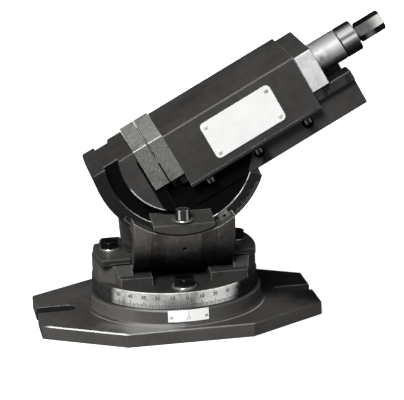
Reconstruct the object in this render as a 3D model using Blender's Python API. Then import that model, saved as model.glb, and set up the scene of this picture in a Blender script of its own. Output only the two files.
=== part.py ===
"""A three-axis machine vise: a base, a swivelling turntable, a rocker that leans to front and back,
and a tilting vise with a screw-driven jaw. Metres, +Z up, origin under the centre of the base.

X runs along the base, and the vise's long side tilts up towards +X. The tilting pieces are drawn in
the frame of the empty tilt_axis: U along the bed, Y across it and W square to both.
"""

import math

import bmesh
import bpy
from mathutils import Vector

MM = 0.001
GAP = 0.3 * MM

# Angles at rest
TILT = math.radians(27.75)

# Base
BASE_HALF_LENGTH = 140.4 * MM
BASE_END_HALF_WIDTH = 50 * MM
BASE_HALF_WIDTH = 99.4 * MM
BASE_SIDE_HALF_LENGTH = 62 * MM
PLATE_TOP = 13.75 * MM
COLLAR_RADIUS = 86.7 * MM
COLLAR_TOP = 29 * MM
COLLAR_FILLET = 3.5 * MM
CLAMP_SLOT_WIDTH = 18 * MM
CLAMP_SLOT_END = 101 * MM
T_SLOT_RADIUS = 66 * MM
T_SLOT_NECK = 13 * MM
T_SLOT_WIDTH = 21 * MM
T_SLOT_FLOOR = 11 * MM
T_SLOT_STEP = 20 * MM
PIN_RADIUS = 15 * MM

# Turntable
DRUM_RADIUS = 83 * MM
DRUM_TOP = 45.75 * MM
SADDLE_BLOCK_RADIUS = 82 * MM
SADDLE_FRONT_CORNER = 63 * MM
SADDLE_TOP_CORNER = 67.3 * MM
SADDLE_SHOULDER_Y = 22 * MM
CHANNEL_HALF_WIDTH = 29 * MM
SADDLE_FACE_TOP = 54.3 * MM
SADDLE_STEP_TOP = 55.5 * MM
SADDLE_TOP = 64.2 * MM
SADDLE_FACE_Y = 51.5 * MM
SADDLE_STEP_Y = 45 * MM
SADDLE_TOP_Y = 36.5 * MM
CLAMP_BOLT_X = 64 * MM
CLAMP_TOP = 71 * MM
CLAMP_UNDERSIDE = 66.2 * MM
CLAMP_NOSE = 81.2 * MM
CLAMP_NOSE_RADIUS = 112 * MM
CLAMP_NOSE_Y = -6 * MM
CLAMP_NOSE_HALF = 31.5 * MM
CLAMP_BACK = 43.6 * MM
CLAMP_HEEL = 70 * MM
CLAMP_TOE_HALF_WIDTH = 18 * MM

# Rocker, a half drum that lies along X
ROCK_X = 3 * MM
ROCK_Z = 112 * MM
ROCK_RADIUS = 66 * MM
ROCK_HALF_LENGTH = 50 * MM
ROCK_RIM = 14 * MM
ROCK_RECESS = 14 * MM

# Tilting segment of the vise body
TILT_Z = 176.4 * MM
RIM_RADIUS = 87 * MM
RIM_INNER_RADIUS = 73.7 * MM
HUB_RADIUS = 59.5 * MM
BODY_HALF_WIDTH = 46 * MM
WEB_HALF_WIDTH = 35 * MM
BODY_TOP = 24.2 * MM
RIM_END = math.radians(-47)
CHEEK_RADIUS = 79.5 * MM
TILT_SCREW_Y = 54.5 * MM
TILT_CLAMP_HALF_LENGTH = 30.3 * MM
TILT_CLAMP_FRONT = 62 * MM
TILT_CLAMP_BACK = 36 * MM

# Jaws and bed
JAW_FACE = -22 * MM
JAW_PLATE = 16 * MM
JAW_HALF_WIDTH = 50 * MM
JAW_TOP = 25.6 * MM
JAW_SEAT = JAW_FACE - JAW_PLATE - GAP
JAW_SCREW_Y = 33 * MM
JAW_SCREW_W = 2 * MM
BED_TOP = -19.4 * MM
BED_END = 185 * MM
RAIL_HALF_WIDTH = 43 * MM
RAIL_BOTTOM = -30.6 * MM
BED_HALF_WIDTH = 37 * MM
BED_BOTTOM = -58.4 * MM
CHANNEL_FLOOR = -46 * MM
BED_CHANNEL_HALF_WIDTH = 22 * MM

# Moving jaw and its screw
BOX_START = -5.7 * MM
BOX_END = 141.5 * MM
BOX_TOP = 24 * MM
SKIRT_BOTTOM = -32.4 * MM
KEEPER_BOTTOM = -36.8 * MM
SCREW_W = -3.3 * MM
SCREW_RADIUS = 10 * MM
SCREW_START = 12 * MM
SCREW_COLLAR_START = 193.3 * MM
SCREW_COLLAR_END = 211.3 * MM
SCREW_END = 241 * MM
DRIVE_FLATS = 18.4 * MM
SLEEVE_RADIUS = 16.2 * MM
NUT_START = 98 * MM
NUT_END = 119.6 * MM
BLOCK_END = 160.8 * MM


def clear_scene():
    for thing in list(bpy.data.objects):
        bpy.data.objects.remove(thing)


def make_finish(name, colour, roughness, metallic):
    finish = bpy.data.materials.new(name)
    finish.use_nodes = True
    shader = finish.node_tree.nodes["Principled BSDF"]
    shader.inputs["Base Color"].default_value = (*colour, 1.0)
    shader.inputs["Roughness"].default_value = roughness
    shader.inputs["Metallic"].default_value = metallic
    finish.diffuse_color = (*colour, 1.0)
    return finish


def arc(radius, start, end, steps, centre=(0.0, 0.0)):
    """Points on an arc, from the angle start to the angle end, both included."""
    angles = [start + (end - start) * step / steps for step in range(steps + 1)]
    return [(centre[0] + radius * math.cos(a), centre[1] + radius * math.sin(a)) for a in angles]


def ring(radius, steps, centre=(0.0, 0.0), turn=0.0):
    return arc(radius, turn, turn + 2 * math.pi, steps, centre)[:-1]


def oblong(half_x, half_y, radius, centre=(0.0, 0.0), steps=6):
    """A rectangle with round corners."""
    points = []
    for number, (sign_x, sign_y) in enumerate(((1, 1), (-1, 1), (-1, -1), (1, -1))):
        corner = (centre[0] + sign_x * (half_x - radius), centre[1] + sign_y * (half_y - radius))
        start = number * math.pi / 2
        points += arc(radius, start, start + math.pi / 2, steps, corner)
    return points


def chord(radius, offset):
    """Half the width of a circle at this distance from its centre."""
    return math.sqrt(radius * radius - offset * offset)


def on_axis(axis, across, up, along):
    """A point whose outline lies square to the named axis."""
    if axis == "X":
        return (along, across, up)
    if axis == "Y":
        return (across, along, up)
    return (across, up, along)


def add_object(name, mesh_builder, finish=None, parent=None, place=(0.0, 0.0, 0.0)):
    mesh = bpy.data.meshes.new(name)
    bmesh.ops.remove_doubles(mesh_builder, verts=mesh_builder.verts, dist=1e-6)
    bmesh.ops.recalc_face_normals(mesh_builder, faces=mesh_builder.faces)
    mesh_builder.to_mesh(mesh)
    mesh_builder.free()
    thing = bpy.data.objects.new(name, mesh)
    bpy.context.scene.collection.objects.link(thing)
    thing.location = place
    thing.parent = parent
    if finish is None:
        thing.hide_render = True
        thing.display_type = "WIRE"
    else:
        mesh.materials.append(finish)
        mesh.shade_smooth()
        mesh.set_sharp_from_angle(angle=math.radians(28))
    return thing


def extruded(name, outline, start, end, axis, finish=None, parent=None, place=(0.0, 0.0, 0.0)):
    """A flat outline drawn square to an axis and extruded along it."""
    builder = bmesh.new()
    points = [builder.verts.new(on_axis(axis, a, b, start)) for a, b in outline]
    face = builder.faces.new(points)
    grown = bmesh.ops.extrude_face_region(builder, geom=[face])
    tops = [item for item in grown["geom"] if isinstance(item, bmesh.types.BMVert)]
    bmesh.ops.translate(builder, verts=tops, vec=Vector(on_axis(axis, 0, 0, end - start)))
    return add_object(name, builder, finish, parent, place)


def turned(name, profile, axis, steps, finish=None, parent=None, place=(0.0, 0.0, 0.0)):
    """A closed profile of (radius, height) points, spun round an axis."""
    builder = bmesh.new()
    points = [builder.verts.new(on_axis(axis, radius, 0, height)) for radius, height in profile]
    edges = []
    for i, (radius, _) in enumerate(profile):
        if radius > 0 or profile[i - 1][0] > 0:
            edges.append(builder.edges.new((points[i - 1], points[i])))
    axis_vector = Vector(on_axis(axis, 0, 0, 1))
    bmesh.ops.spin(
        builder,
        geom=points + edges,
        cent=(0, 0, 0),
        axis=axis_vector,
        angle=2 * math.pi,
        steps=steps,
        use_merge=True,
    )
    bmesh.ops.remove_doubles(builder, verts=builder.verts, dist=1e-6)
    bmesh.ops.dissolve_degenerate(builder, edges=builder.edges, dist=1e-7)
    return add_object(name, builder, finish, parent, place)


def rod(name, radius, start, end, axis, steps=32, parent=None, place=(0.0, 0.0, 0.0)):
    """A plain cylinder, used as a cutter."""
    return extruded(name, ring(radius, steps), start, end, axis, None, parent, place)


def combine(thing, operation, others):
    for other in others:
        step = thing.modifiers.new(other.name, "BOOLEAN")
        step.operation = operation
        step.solver = "EXACT"
        step.object = other


def cut(thing, *cutters):
    combine(thing, "DIFFERENCE", cutters)


def join(thing, *pieces):
    combine(thing, "UNION", pieces)


def keep_inside(thing, *limits):
    combine(thing, "INTERSECT", limits)


def soften(thing, width, segments=1, angle=40):
    """A small bevel on the sharp edges that the piece has at this point."""
    step = thing.modifiers.new("soft_edges", "BEVEL")
    step.width = width
    step.segments = segments
    step.limit_method = "ANGLE"
    step.angle_limit = math.radians(angle)
    step.harden_normals = False


def add_axis(name, parent=None, place=(0.0, 0.0, 0.0), turn=0.0):
    axis = bpy.data.objects.new(name, None)
    bpy.context.scene.collection.objects.link(axis)
    axis.empty_display_size = 0.05
    axis.parent = parent
    axis.location = place
    axis.rotation_euler = (0.0, turn, 0.0)
    return axis


def make_base(finishes):
    corner_x, corner_y = BASE_SIDE_HALF_LENGTH, BASE_HALF_WIDTH
    end_x, end_y = BASE_HALF_LENGTH, BASE_END_HALF_WIDTH
    outline = [(end_x, -end_y), (end_x, end_y), (corner_x, corner_y), (-corner_x, corner_y)]
    outline += [(-end_x, end_y), (-end_x, -end_y), (-corner_x, -corner_y), (corner_x, -corner_y)]
    base = extruded("base_plate", outline, 0, PLATE_TOP, "Z", finishes["casting"])
    soften(base, 1.2 * MM, 2)

    foot = COLLAR_RADIUS + COLLAR_FILLET
    fillet_centre = (foot, PLATE_TOP + COLLAR_FILLET)
    profile = [(0, 8 * MM), (foot, 8 * MM)]
    profile += arc(COLLAR_FILLET, math.radians(270), math.radians(180), 3, fillet_centre)
    profile += [(COLLAR_RADIUS, COLLAR_TOP - 1 * MM), (COLLAR_RADIUS - 1 * MM, COLLAR_TOP)]
    profile += [(0, COLLAR_TOP)]
    collar = turned("base_collar_form", profile, "Z", 60)
    join(base, collar)

    neck_in, neck_out = T_SLOT_RADIUS - T_SLOT_NECK / 2, T_SLOT_RADIUS + T_SLOT_NECK / 2
    wide_in, wide_out = T_SLOT_RADIUS - T_SLOT_WIDTH / 2, T_SLOT_RADIUS + T_SLOT_WIDTH / 2
    above = COLLAR_TOP + 5 * MM
    profile = [(neck_in, above), (neck_in, T_SLOT_STEP), (wide_in, T_SLOT_STEP)]
    profile += [(wide_in, T_SLOT_FLOOR), (wide_out, T_SLOT_FLOOR), (wide_out, T_SLOT_STEP)]
    profile += [(neck_out, T_SLOT_STEP), (neck_out, above)]
    cut(base, turned("swivel_t_slot", profile, "Z", 40))
    entry = (T_SLOT_RADIUS, 0, 0)
    cut(base, rod("t_nut_entry", 11.5 * MM, T_SLOT_FLOOR, above, "Z", 20, place=entry))
    cut(base, rod("pin_bore", PIN_RADIUS + GAP, 8 * MM, above, "Z", 28))

    half = CLAMP_SLOT_WIDTH / 2
    centre = CLAMP_SLOT_END + half
    mouth = BASE_HALF_LENGTH + 10 * MM
    for side, sign in (("left", -1), ("right", 1)):
        outline = arc(half, math.radians(90), math.radians(270), 12, (centre, 0))
        outline += [(mouth, -half), (mouth, half)]
        outline = [(sign * x, y) for x, y in outline]
        slot = extruded("clamp_slot_" + side, outline, -5 * MM, PLATE_TOP + 5 * MM, "Z")
        cut(base, slot)

    foot, top = 8 * MM + GAP, 40 * MM
    profile = [(0, foot), (PIN_RADIUS - 1 * MM, foot), (PIN_RADIUS, foot + 1 * MM)]
    profile += [(PIN_RADIUS, top - 1 * MM), (PIN_RADIUS - 1 * MM, top), (0, top)]
    turned("swivel_pin", profile, "Z", 28, finishes["steel"])

    spread = math.radians(13.3)
    inner, outer = COLLAR_RADIUS + GAP, COLLAR_RADIUS + GAP + 1 * MM
    front = math.radians(-90)
    outline = arc(outer, front - spread, front + spread, 10)
    outline += arc(inner, front + spread, front - spread, 10)
    bottom = PLATE_TOP + COLLAR_FILLET + 0.4 * MM
    extruded("swivel_index_plate", outline, bottom, COLLAR_TOP + 0.5 * MM, "Z", finishes["white"])


def make_hex_bolt(name, flats, head, shank, length, finish, parent, place):
    """A hexagon head over a plain shank, with the head's underside at the origin."""
    corner = flats / math.sqrt(3)
    bolt = extruded(name, ring(corner, 6, turn=math.radians(20)), 0, head, "Z", finish, parent, place)
    profile = [(0, -1 * MM), (corner * 1.1, -1 * MM), (corner * 1.1, head * 0.72)]
    profile += [(flats * 0.47, head), (0, head)]
    keep_inside(bolt, turned(name + "_chamfer", profile, "Z", 24, None, parent, place))
    profile = [(0, -length), (shank - 1 * MM, -length), (shank, -length + 1 * MM)]
    profile += [(shank, head * 0.5), (0, head * 0.5)]
    join(bolt, turned(name + "_shank", profile, "Z", 18, None, parent, place))
    return bolt


def make_cap_screw(name, head_radius, head, shank, length, finish, parent, place, axis="Z", way=1):
    """A cylinder head with a hexagon socket, its underside at the origin and its top towards way."""
    edge = head_radius * 0.09
    profile = [(0, -length), (shank, -length), (shank, 0), (head_radius, 0)]
    profile += [(head_radius, head - edge), (head_radius - edge, head), (0, head)]
    profile = [(radius, way * height) for radius, height in profile]
    steps = 10 if head_radius < 4 * MM else 16
    screw = turned(name, profile, axis, steps, finish, parent, place)
    start, end = way * head * 0.45, way * (head + 2 * MM)
    socket = ring(head_radius * 0.6, 6)
    low, high = sorted((start, end))
    cut(screw, extruded(name + "_socket", socket, low, high, axis, None, parent, place))
    return screw


def make_washer(name, outer, bore, thickness, finish, parent, place):
    profile = [(bore, 0), (outer, 0), (outer, thickness - 0.3 * MM)]
    profile += [(outer - 0.3 * MM, thickness), (bore, thickness)]
    return turned(name, profile, "Z", 18, finish, parent, place)


def saddle_block_plan(sign):
    """The outline of a saddle block from above: a flat at each corner, then round with the drum."""
    lean = (SADDLE_TOP_CORNER - SADDLE_FRONT_CORNER) / (SADDLE_FACE_Y - SADDLE_TOP_Y)
    past = 8 * MM
    corner = ROCK_X * sign + SADDLE_FRONT_CORNER - past * lean
    flat = [(corner, -SADDLE_FACE_Y - past), (ROCK_X * sign + SADDLE_TOP_CORNER, -SADDLE_TOP_Y)]
    far = math.asin(SADDLE_SHOULDER_Y / SADDLE_BLOCK_RADIUS)
    outline = [(0, -SADDLE_FACE_Y - past)] + flat
    outline += arc(SADDLE_BLOCK_RADIUS, -far, far, 8)
    outline += [(x, -y) for x, y in reversed(flat)] + [(0, SADDLE_FACE_Y + past)]
    return [(sign * x, y) for x, y in outline]


def make_turntable(finishes, swivel):
    edge = 0.8 * MM
    bottom = COLLAR_TOP + GAP
    profile = [(0, bottom), (DRUM_RADIUS - edge, bottom), (DRUM_RADIUS, bottom + edge)]
    profile += [(DRUM_RADIUS, DRUM_TOP - edge), (DRUM_RADIUS - edge, DRUM_TOP), (0, DRUM_TOP)]
    table = turned("turntable", profile, "Z", 72, finishes["turntable"], swivel)

    right = [(SADDLE_FACE_Y, DRUM_TOP - 3 * MM), (SADDLE_FACE_Y, SADDLE_FACE_TOP)]
    right += [(SADDLE_STEP_Y, SADDLE_STEP_TOP), (SADDLE_TOP_Y, SADDLE_TOP)]
    section = right + [(-y, z) for y, z in reversed(right)]
    far = DRUM_RADIUS + 5 * MM
    for side, start, end in (("left", -far, -CHANNEL_HALF_WIDTH), ("right", CHANNEL_HALF_WIDTH, far)):
        block = extruded("saddle_block_" + side, section, start, end, "X", None, swivel)
        plan = saddle_block_plan(-1 if side == "left" else 1)
        limit = extruded("saddle_limit_" + side, plan, 0, 80 * MM, "Z", None, swivel)
        keep_inside(block, limit)
        join(table, block)

    reach = ROCK_HALF_LENGTH + GAP
    drum_place = (ROCK_X, 0, ROCK_Z)
    pocket = [(-far, SADDLE_STEP_TOP), (far, SADDLE_STEP_TOP), (far, 80 * MM), (-far, 80 * MM)]
    cut(table, extruded("rocker_pocket", pocket, ROCK_X - reach, ROCK_X + reach, "X", None, swivel))
    cut(table, rod("rocker_seat", ROCK_RADIUS + GAP, -reach, reach, "X", 60, swivel, drum_place))
    cut(table, rod("table_bore", PIN_RADIUS + GAP, 20 * MM, 40.6 * MM, "Z", 28, swivel))
    for side, sign in (("front", -1), ("back", 1)):
        spot = (0, sign * T_SLOT_RADIUS, 0)
        cut(table, rod("swivel_hole_" + side, 6.4 * MM, 20 * MM, 60 * MM, "Z", 24, swivel, spot))
        washer_spot = (0, sign * T_SLOT_RADIUS, DRUM_TOP + GAP)
        make_washer("swivel_washer_" + side, 12.6 * MM, 6.4 * MM, 2.5 * MM, finishes["bright"],
                    swivel, washer_spot)
        head_spot = (0, sign * T_SLOT_RADIUS, DRUM_TOP + 2 * GAP + 2.5 * MM)
        length = head_spot[2] - T_SLOT_FLOOR - 1 * MM
        make_hex_bolt("swivel_bolt_" + side, 19 * MM, 8 * MM, 6 * MM, length, finishes["black"],
                      swivel, head_spot)
        make_t_nut("swivel_t_nut_" + side, finishes["steel"], swivel, spot)
    for side, sign in (("left", -1), ("right", 1)):
        spot = (sign * CLAMP_BOLT_X, 0, 0)
        cut(table, rod("clamp_hole_" + side, 5.4 * MM, 40 * MM, 80 * MM, "Z", 24, swivel, spot))
        make_rocker_clamp(side, sign, finishes, swivel)


def make_t_nut(name, finish, parent, place):
    stem, flange = T_SLOT_NECK / 2 - 1 * MM, T_SLOT_WIDTH / 2 - 1.3 * MM
    floor, shoulder, top = T_SLOT_FLOOR + GAP, T_SLOT_STEP - GAP, COLLAR_TOP - 1 * MM
    section = [(-flange, floor), (flange, floor), (flange, shoulder), (stem, shoulder)]
    section += [(stem, top), (-stem, top), (-stem, shoulder), (-flange, shoulder)]
    nut = extruded(name, section, -9 * MM, 9 * MM, "X", finish, parent, place)
    cut(nut, rod(name + "_hole", 6.3 * MM, 0, 60 * MM, "Z", 24, parent, place))


def make_rocker_clamp(side, sign, finishes, swivel):
    """A strap with its heel on the turntable and its round toe inside the rocker's end recess."""
    inner = sign * ROCK_X + ROCK_HALF_LENGTH + 1.2 * MM
    web = inner - ROCK_RECESS + 0.3 * MM
    under = CLAMP_UNDERSIDE
    far = math.asin(CLAMP_NOSE_HALF / CLAMP_NOSE_RADIUS)
    nose = arc(CLAMP_NOSE_RADIUS, -far, far, 10, (CLAMP_NOSE - CLAMP_NOSE_RADIUS, CLAMP_NOSE_Y))
    plan = [(inner, CLAMP_BACK), (inner, nose[0][1])] + nose
    shoulder = nose[-1][1]
    plan += [(72.1 * MM, shoulder), (69.6 * MM, 39 * MM), (67.1 * MM, CLAMP_BACK)]
    plan = [(sign * x, y) for x, y in plan]
    bottom = SADDLE_TOP + GAP
    clamp = extruded("rocker_clamp_" + side, plan, bottom, CLAMP_TOP, "Z", finishes["clamp"], swivel)
    soften(clamp, 0.8 * MM)

    relief = [(inner - 9 * MM, bottom - 5 * MM), (CLAMP_HEEL, bottom - 5 * MM), (CLAMP_HEEL, bottom)]
    relief += [(CLAMP_HEEL - 3 * MM, under), (inner - 9 * MM, under)]
    relief = [(sign * x, z) for x, z in relief]
    cut(clamp, extruded("clamp_relief_" + side, relief, -60 * MM, 60 * MM, "Y", None, swivel))

    # The toe thins towards its tip, so the rocker's seat clears it at the end of the lean.
    toe = [(inner + 2 * MM, CLAMP_TOP - 0.9 * MM), (inner - 0.5 * MM, CLAMP_TOP - 0.9 * MM)]
    toe += [(web, CLAMP_TOP - 7.3 * MM), (web, 50 * MM), (inner - 1.7 * MM, 50 * MM)]
    toe += [(inner - 1.7 * MM, under + 0.5 * MM), (inner + 2 * MM, under + 0.5 * MM)]
    toe = [(sign * x, z) for x, z in toe]
    toe_form = extruded("clamp_toe_" + side, toe, -CLAMP_TOE_HALF_WIDTH, CLAMP_TOE_HALF_WIDTH, "Y",
                        None, swivel)
    toe_radius = ROCK_RADIUS - ROCK_RIM - GAP
    limit = rod("clamp_toe_limit_" + side, toe_radius, -90 * MM, 90 * MM, "X", 48, swivel, (0, 0, ROCK_Z))
    keep_inside(toe_form, limit)
    join(clamp, toe_form)
    spot = (sign * CLAMP_BOLT_X, 0, 0)
    cut(clamp, rod("clamp_strap_hole_" + side, 5.6 * MM, 50 * MM, 90 * MM, "Z", 24, swivel, spot))

    washer = (sign * CLAMP_BOLT_X, 0, CLAMP_TOP + GAP)
    make_washer("rocker_clamp_washer_" + side, 10.6 * MM, 5.6 * MM, 2 * MM, finishes["bright"],
                swivel, washer)
    head = (sign * CLAMP_BOLT_X, 0, CLAMP_TOP + 2 * GAP + 2 * MM)
    make_hex_bolt("rocker_clamp_bolt_" + side, 17 * MM, 7 * MM, 5 * MM, 31 * MM, finishes["black"],
                  swivel, head)


def make_rocker(finishes, rock):
    """A half drum, hollowed on top to carry the vise's round segment and recessed at both ends."""
    land, relief = 33 * MM, 17 * MM
    shallow = ROCK_RADIUS - 0.8 * MM
    end, edge = ROCK_HALF_LENGTH, 0.6 * MM
    profile = [(0, -end), (ROCK_RADIUS - edge, -end), (ROCK_RADIUS, -end + edge)]
    profile += [(ROCK_RADIUS, -land), (shallow, -land + 0.8 * MM), (shallow, -relief - 0.8 * MM)]
    profile += [(ROCK_RADIUS, -relief), (ROCK_RADIUS, relief), (shallow, relief + 0.8 * MM)]
    profile += [(shallow, land - 0.8 * MM), (ROCK_RADIUS, land), (ROCK_RADIUS, end - edge)]
    profile += [(ROCK_RADIUS - edge, end), (0, end)]
    rocker = turned("rocker", profile, "X", 64, finishes["rocker"], rock)

    saddle_place = (0, 0, TILT_Z - ROCK_Z)
    wide = 90 * MM
    depth = BODY_HALF_WIDTH + 0.4 * MM
    cut(rocker, rod("cheek_arc", CHEEK_RADIUS, -wide, wide, "Y", 64, rock, saddle_place))
    seat = rod("saddle_arc", RIM_RADIUS + GAP, -depth, depth, "Y", 68, rock, saddle_place)
    cut(rocker, seat)
    box = [(-wide, 2.6 * MM), (wide, 2.6 * MM), (wide, 90 * MM), (-wide, 90 * MM)]
    cut(rocker, extruded("rocker_top_limit", box, -wide, wide, "X", None, rock))

    inner, crust = ROCK_RADIUS - ROCK_RIM, RIM_RADIUS + 5.3 * MM
    start, far = ROCK_HALF_LENGTH - ROCK_RECESS, end + 6 * MM
    roof = []
    for step in range(7):
        along = start + (far - start) * step / 6
        roof.append((along, saddle_place[2] - chord(crust, along)))
    outline = [(start, -70 * MM), (far, -70 * MM)] + roof[::-1]
    for side, sign in (("left", -1), ("right", 1)):
        shape = [(sign * along, up) for along, up in outline]
        recess = extruded("end_recess_" + side, shape, -60 * MM, 60 * MM, "Y", None, rock)
        keep_inside(recess, rod("recess_wall_" + side, inner, -70 * MM, 70 * MM, "X", 48, rock))
        cut(rocker, recess)

    for side, sign in (("front", -1), ("back", 1)):
        screw = (0, sign * TILT_SCREW_Y, 0)
        cut(rocker, rod("tilt_screw_hole_" + side, 4.3 * MM, -27 * MM, 0, "Z", 20, rock, screw))
        make_tilt_clamp(side, sign, finishes, rock)

    peg = rod("rocker_peg_hole", 2.4 * MM, -ROCK_RADIUS - 5 * MM, -ROCK_RADIUS + 7 * MM, "Y", 16, rock)
    peg.rotation_euler = (math.radians(26.6), 0, 0)
    cut(rocker, peg)
    make_tilt_index(finishes, rock)


def make_tilt_clamp(side, sign, finishes, rock):
    """A strap with its toe inside the segment's groove and its heel on the rocker's cheek."""
    half = TILT_CLAMP_HALF_LENGTH
    front, back = sign * TILT_CLAMP_FRONT, sign * TILT_CLAMP_BACK
    saddle_place = (0, 0, TILT_Z - ROCK_Z)
    section = [(front, -85 * MM), (back, -85 * MM), (back, 115 * MM - TILT_Z)]
    section += [(front, 108.4 * MM - TILT_Z)]
    clamp = extruded("tilt_clamp_" + side, section, -half, half, "X", finishes["clamp"], rock,
                     saddle_place)
    reach = 100 * MM
    heel_radius, toe_radius = CHEEK_RADIUS - GAP, RIM_INNER_RADIUS - GAP
    for part, radius, start, end in (
        ("heel", heel_radius, BODY_HALF_WIDTH + 0.4 * MM, reach),
        ("toe", toe_radius, 0, BODY_HALF_WIDTH + 0.4 * MM),
    ):
        near, distant = sorted((sign * start, sign * end))
        profile = [(radius, near), (130 * MM, near), (130 * MM, distant), (radius, distant)]
        limit = turned("clamp_" + part + "_limit_" + side, profile, "Y", 64, None, rock, saddle_place)
        cut(clamp, limit)
    screw = (0, sign * TILT_SCREW_Y, 0)
    cut(clamp, rod("clamp_clearance_" + side, 4.8 * MM, -40 * MM, 40 * MM, "Z", 24, rock, screw))
    seat = 110.2 * MM - ROCK_Z
    cut(clamp, rod("clamp_spot_face_" + side, 10.6 * MM, seat, 40 * MM, "Z", 28, rock, screw))
    washer = (0, sign * TILT_SCREW_Y, seat + GAP)
    make_washer("tilt_clamp_washer_" + side, 10.2 * MM, 4.6 * MM, 1.6 * MM, finishes["bright"],
                rock, washer)
    head = (0, sign * TILT_SCREW_Y, seat + 2 * GAP + 1.6 * MM)
    make_cap_screw("tilt_clamp_screw_" + side, 7.3 * MM, 10 * MM, 4 * MM, 25 * MM,
                   finishes["bright"], rock, head)


def make_tilt_index(finishes, rock):
    """A small block with a hole, the mark against which the tilt is read, on the front cheek."""
    drop = TILT_Z - ROCK_Z
    centre = math.radians(-57.5)
    spread = math.radians(4.1)
    outer, inner = CHEEK_RADIUS - GAP, CHEEK_RADIUS - 6 * MM
    outline = arc(outer, centre - spread, centre + spread, 4)
    outline += [(inner * math.cos(a), inner * math.sin(a)) for a in (centre + spread, centre - spread)]
    near, distant = -BODY_HALF_WIDTH - 9.6 * MM, -BODY_HALF_WIDTH - 0.6 * MM
    place = (0, 0, drop)
    tab = extruded("tilt_index", outline, near, distant, "Y", finishes["bright"], rock, place)
    middle = (outer + inner) / 2
    spot = (middle * math.cos(centre), middle * math.sin(centre))
    hole = extruded("tilt_index_hole", ring(1.7 * MM, 16, spot), near - 2 * MM, near + 6 * MM, "Y",
                    None, rock, place)
    cut(tab, hole)


def make_vise_body(finishes, tilt):
    """The casting of the fixed jaw, the grooved round segment under it and the bed of the moving jaw."""
    start = math.pi - math.asin(BODY_TOP / RIM_RADIUS)
    end = RIM_END + 2 * math.pi
    outline = arc(RIM_RADIUS, start, end, 36)
    outline += [(60 * MM, BED_BOTTOM + 5 * MM), (60 * MM, BED_TOP - 2 * MM), (JAW_SEAT, BED_TOP - 2 * MM)]
    outline += [(JAW_SEAT, BODY_TOP)]
    body = extruded("vise_body", outline, -WEB_HALF_WIDTH, WEB_HALF_WIDTH, "Y",
                    finishes["casting"], tilt)
    soften(body, 1 * MM)

    inner_start = math.pi - math.asin(BODY_TOP / RIM_INNER_RADIUS)
    outline = arc(RIM_RADIUS, start, end, 36)
    outline += arc(RIM_INNER_RADIUS, end, inner_start, 34)
    rim = extruded("segment_rim", outline, -BODY_HALF_WIDTH, BODY_HALF_WIDTH, "Y", None, tilt)
    soften(rim, 1 * MM, 1, 60)

    ledge = BED_TOP
    hub_right = -29 * MM
    hub_start = math.pi - math.asin(BODY_TOP / HUB_RADIUS)
    hub_end = 2 * math.pi - math.acos(hub_right / HUB_RADIUS)
    outline = arc(HUB_RADIUS, hub_start, hub_end, 18)
    outline += [(hub_right, ledge), (JAW_SEAT, ledge), (JAW_SEAT, BODY_TOP)]
    hub = extruded("fixed_jaw_block", outline, -BODY_HALF_WIDTH, BODY_HALF_WIDTH, "Y", None, tilt)
    soften(hub, 0.8 * MM, 1, 60)

    rail, side, channel = RAIL_HALF_WIDTH, BED_HALF_WIDTH, BED_CHANNEL_HALF_WIDTH
    section = [(-rail, BED_TOP), (-rail, RAIL_BOTTOM), (-side, RAIL_BOTTOM), (-side, BED_BOTTOM)]
    section += [(side, BED_BOTTOM), (side, RAIL_BOTTOM), (rail, RAIL_BOTTOM), (rail, BED_TOP)]
    section += [(channel, BED_TOP), (channel, CHANNEL_FLOOR), (-channel, CHANNEL_FLOOR)]
    section += [(-channel, BED_TOP)]
    bed = extruded("bed_form", section, -12 * MM, BED_END, "X", None, tilt)
    soften(bed, 0.8 * MM, 1, 60)
    join(body, rim, hub, bed)

    # The bed's channel goes on through the web, as far as the seat of the moving jaw.
    opening = [(-channel, BED_TOP + 5 * MM), (-channel, CHANNEL_FLOOR), (channel, CHANNEL_FLOOR),
               (channel, BED_TOP + 5 * MM)]
    cut(body, extruded("bed_channel", opening, 2 * MM, BED_END + 10 * MM, "X", None, tilt))

    for side_name, sign in (("front", -1), ("back", 1)):
        spot = (0, sign * JAW_SCREW_Y, JAW_SCREW_W)
        hole = rod("fixed_jaw_hole_" + side_name, 4.3 * MM, -58 * MM, -30 * MM, "X", 20, tilt, spot)
        cut(body, hole)
        spot = ((NUT_START + NUT_END) / 2, sign * 11 * MM, 0)
        cut(body, rod("nut_bolt_hole_" + side_name, 4.4 * MM, -70 * MM, -40 * MM, "Z", 20, tilt, spot))
        bore_top = BED_BOTTOM + 7.5 * MM
        cut(body, rod("nut_bolt_seat_" + side_name, 6.9 * MM, -70 * MM, bore_top, "Z", 24, tilt, spot))
        head = (spot[0], spot[1], bore_top - GAP)
        make_cap_screw("nut_screw_" + side_name, 6.5 * MM, 6.5 * MM, 4 * MM, 22 * MM,
                       finishes["black"], tilt, head, "Z", -1)


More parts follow.
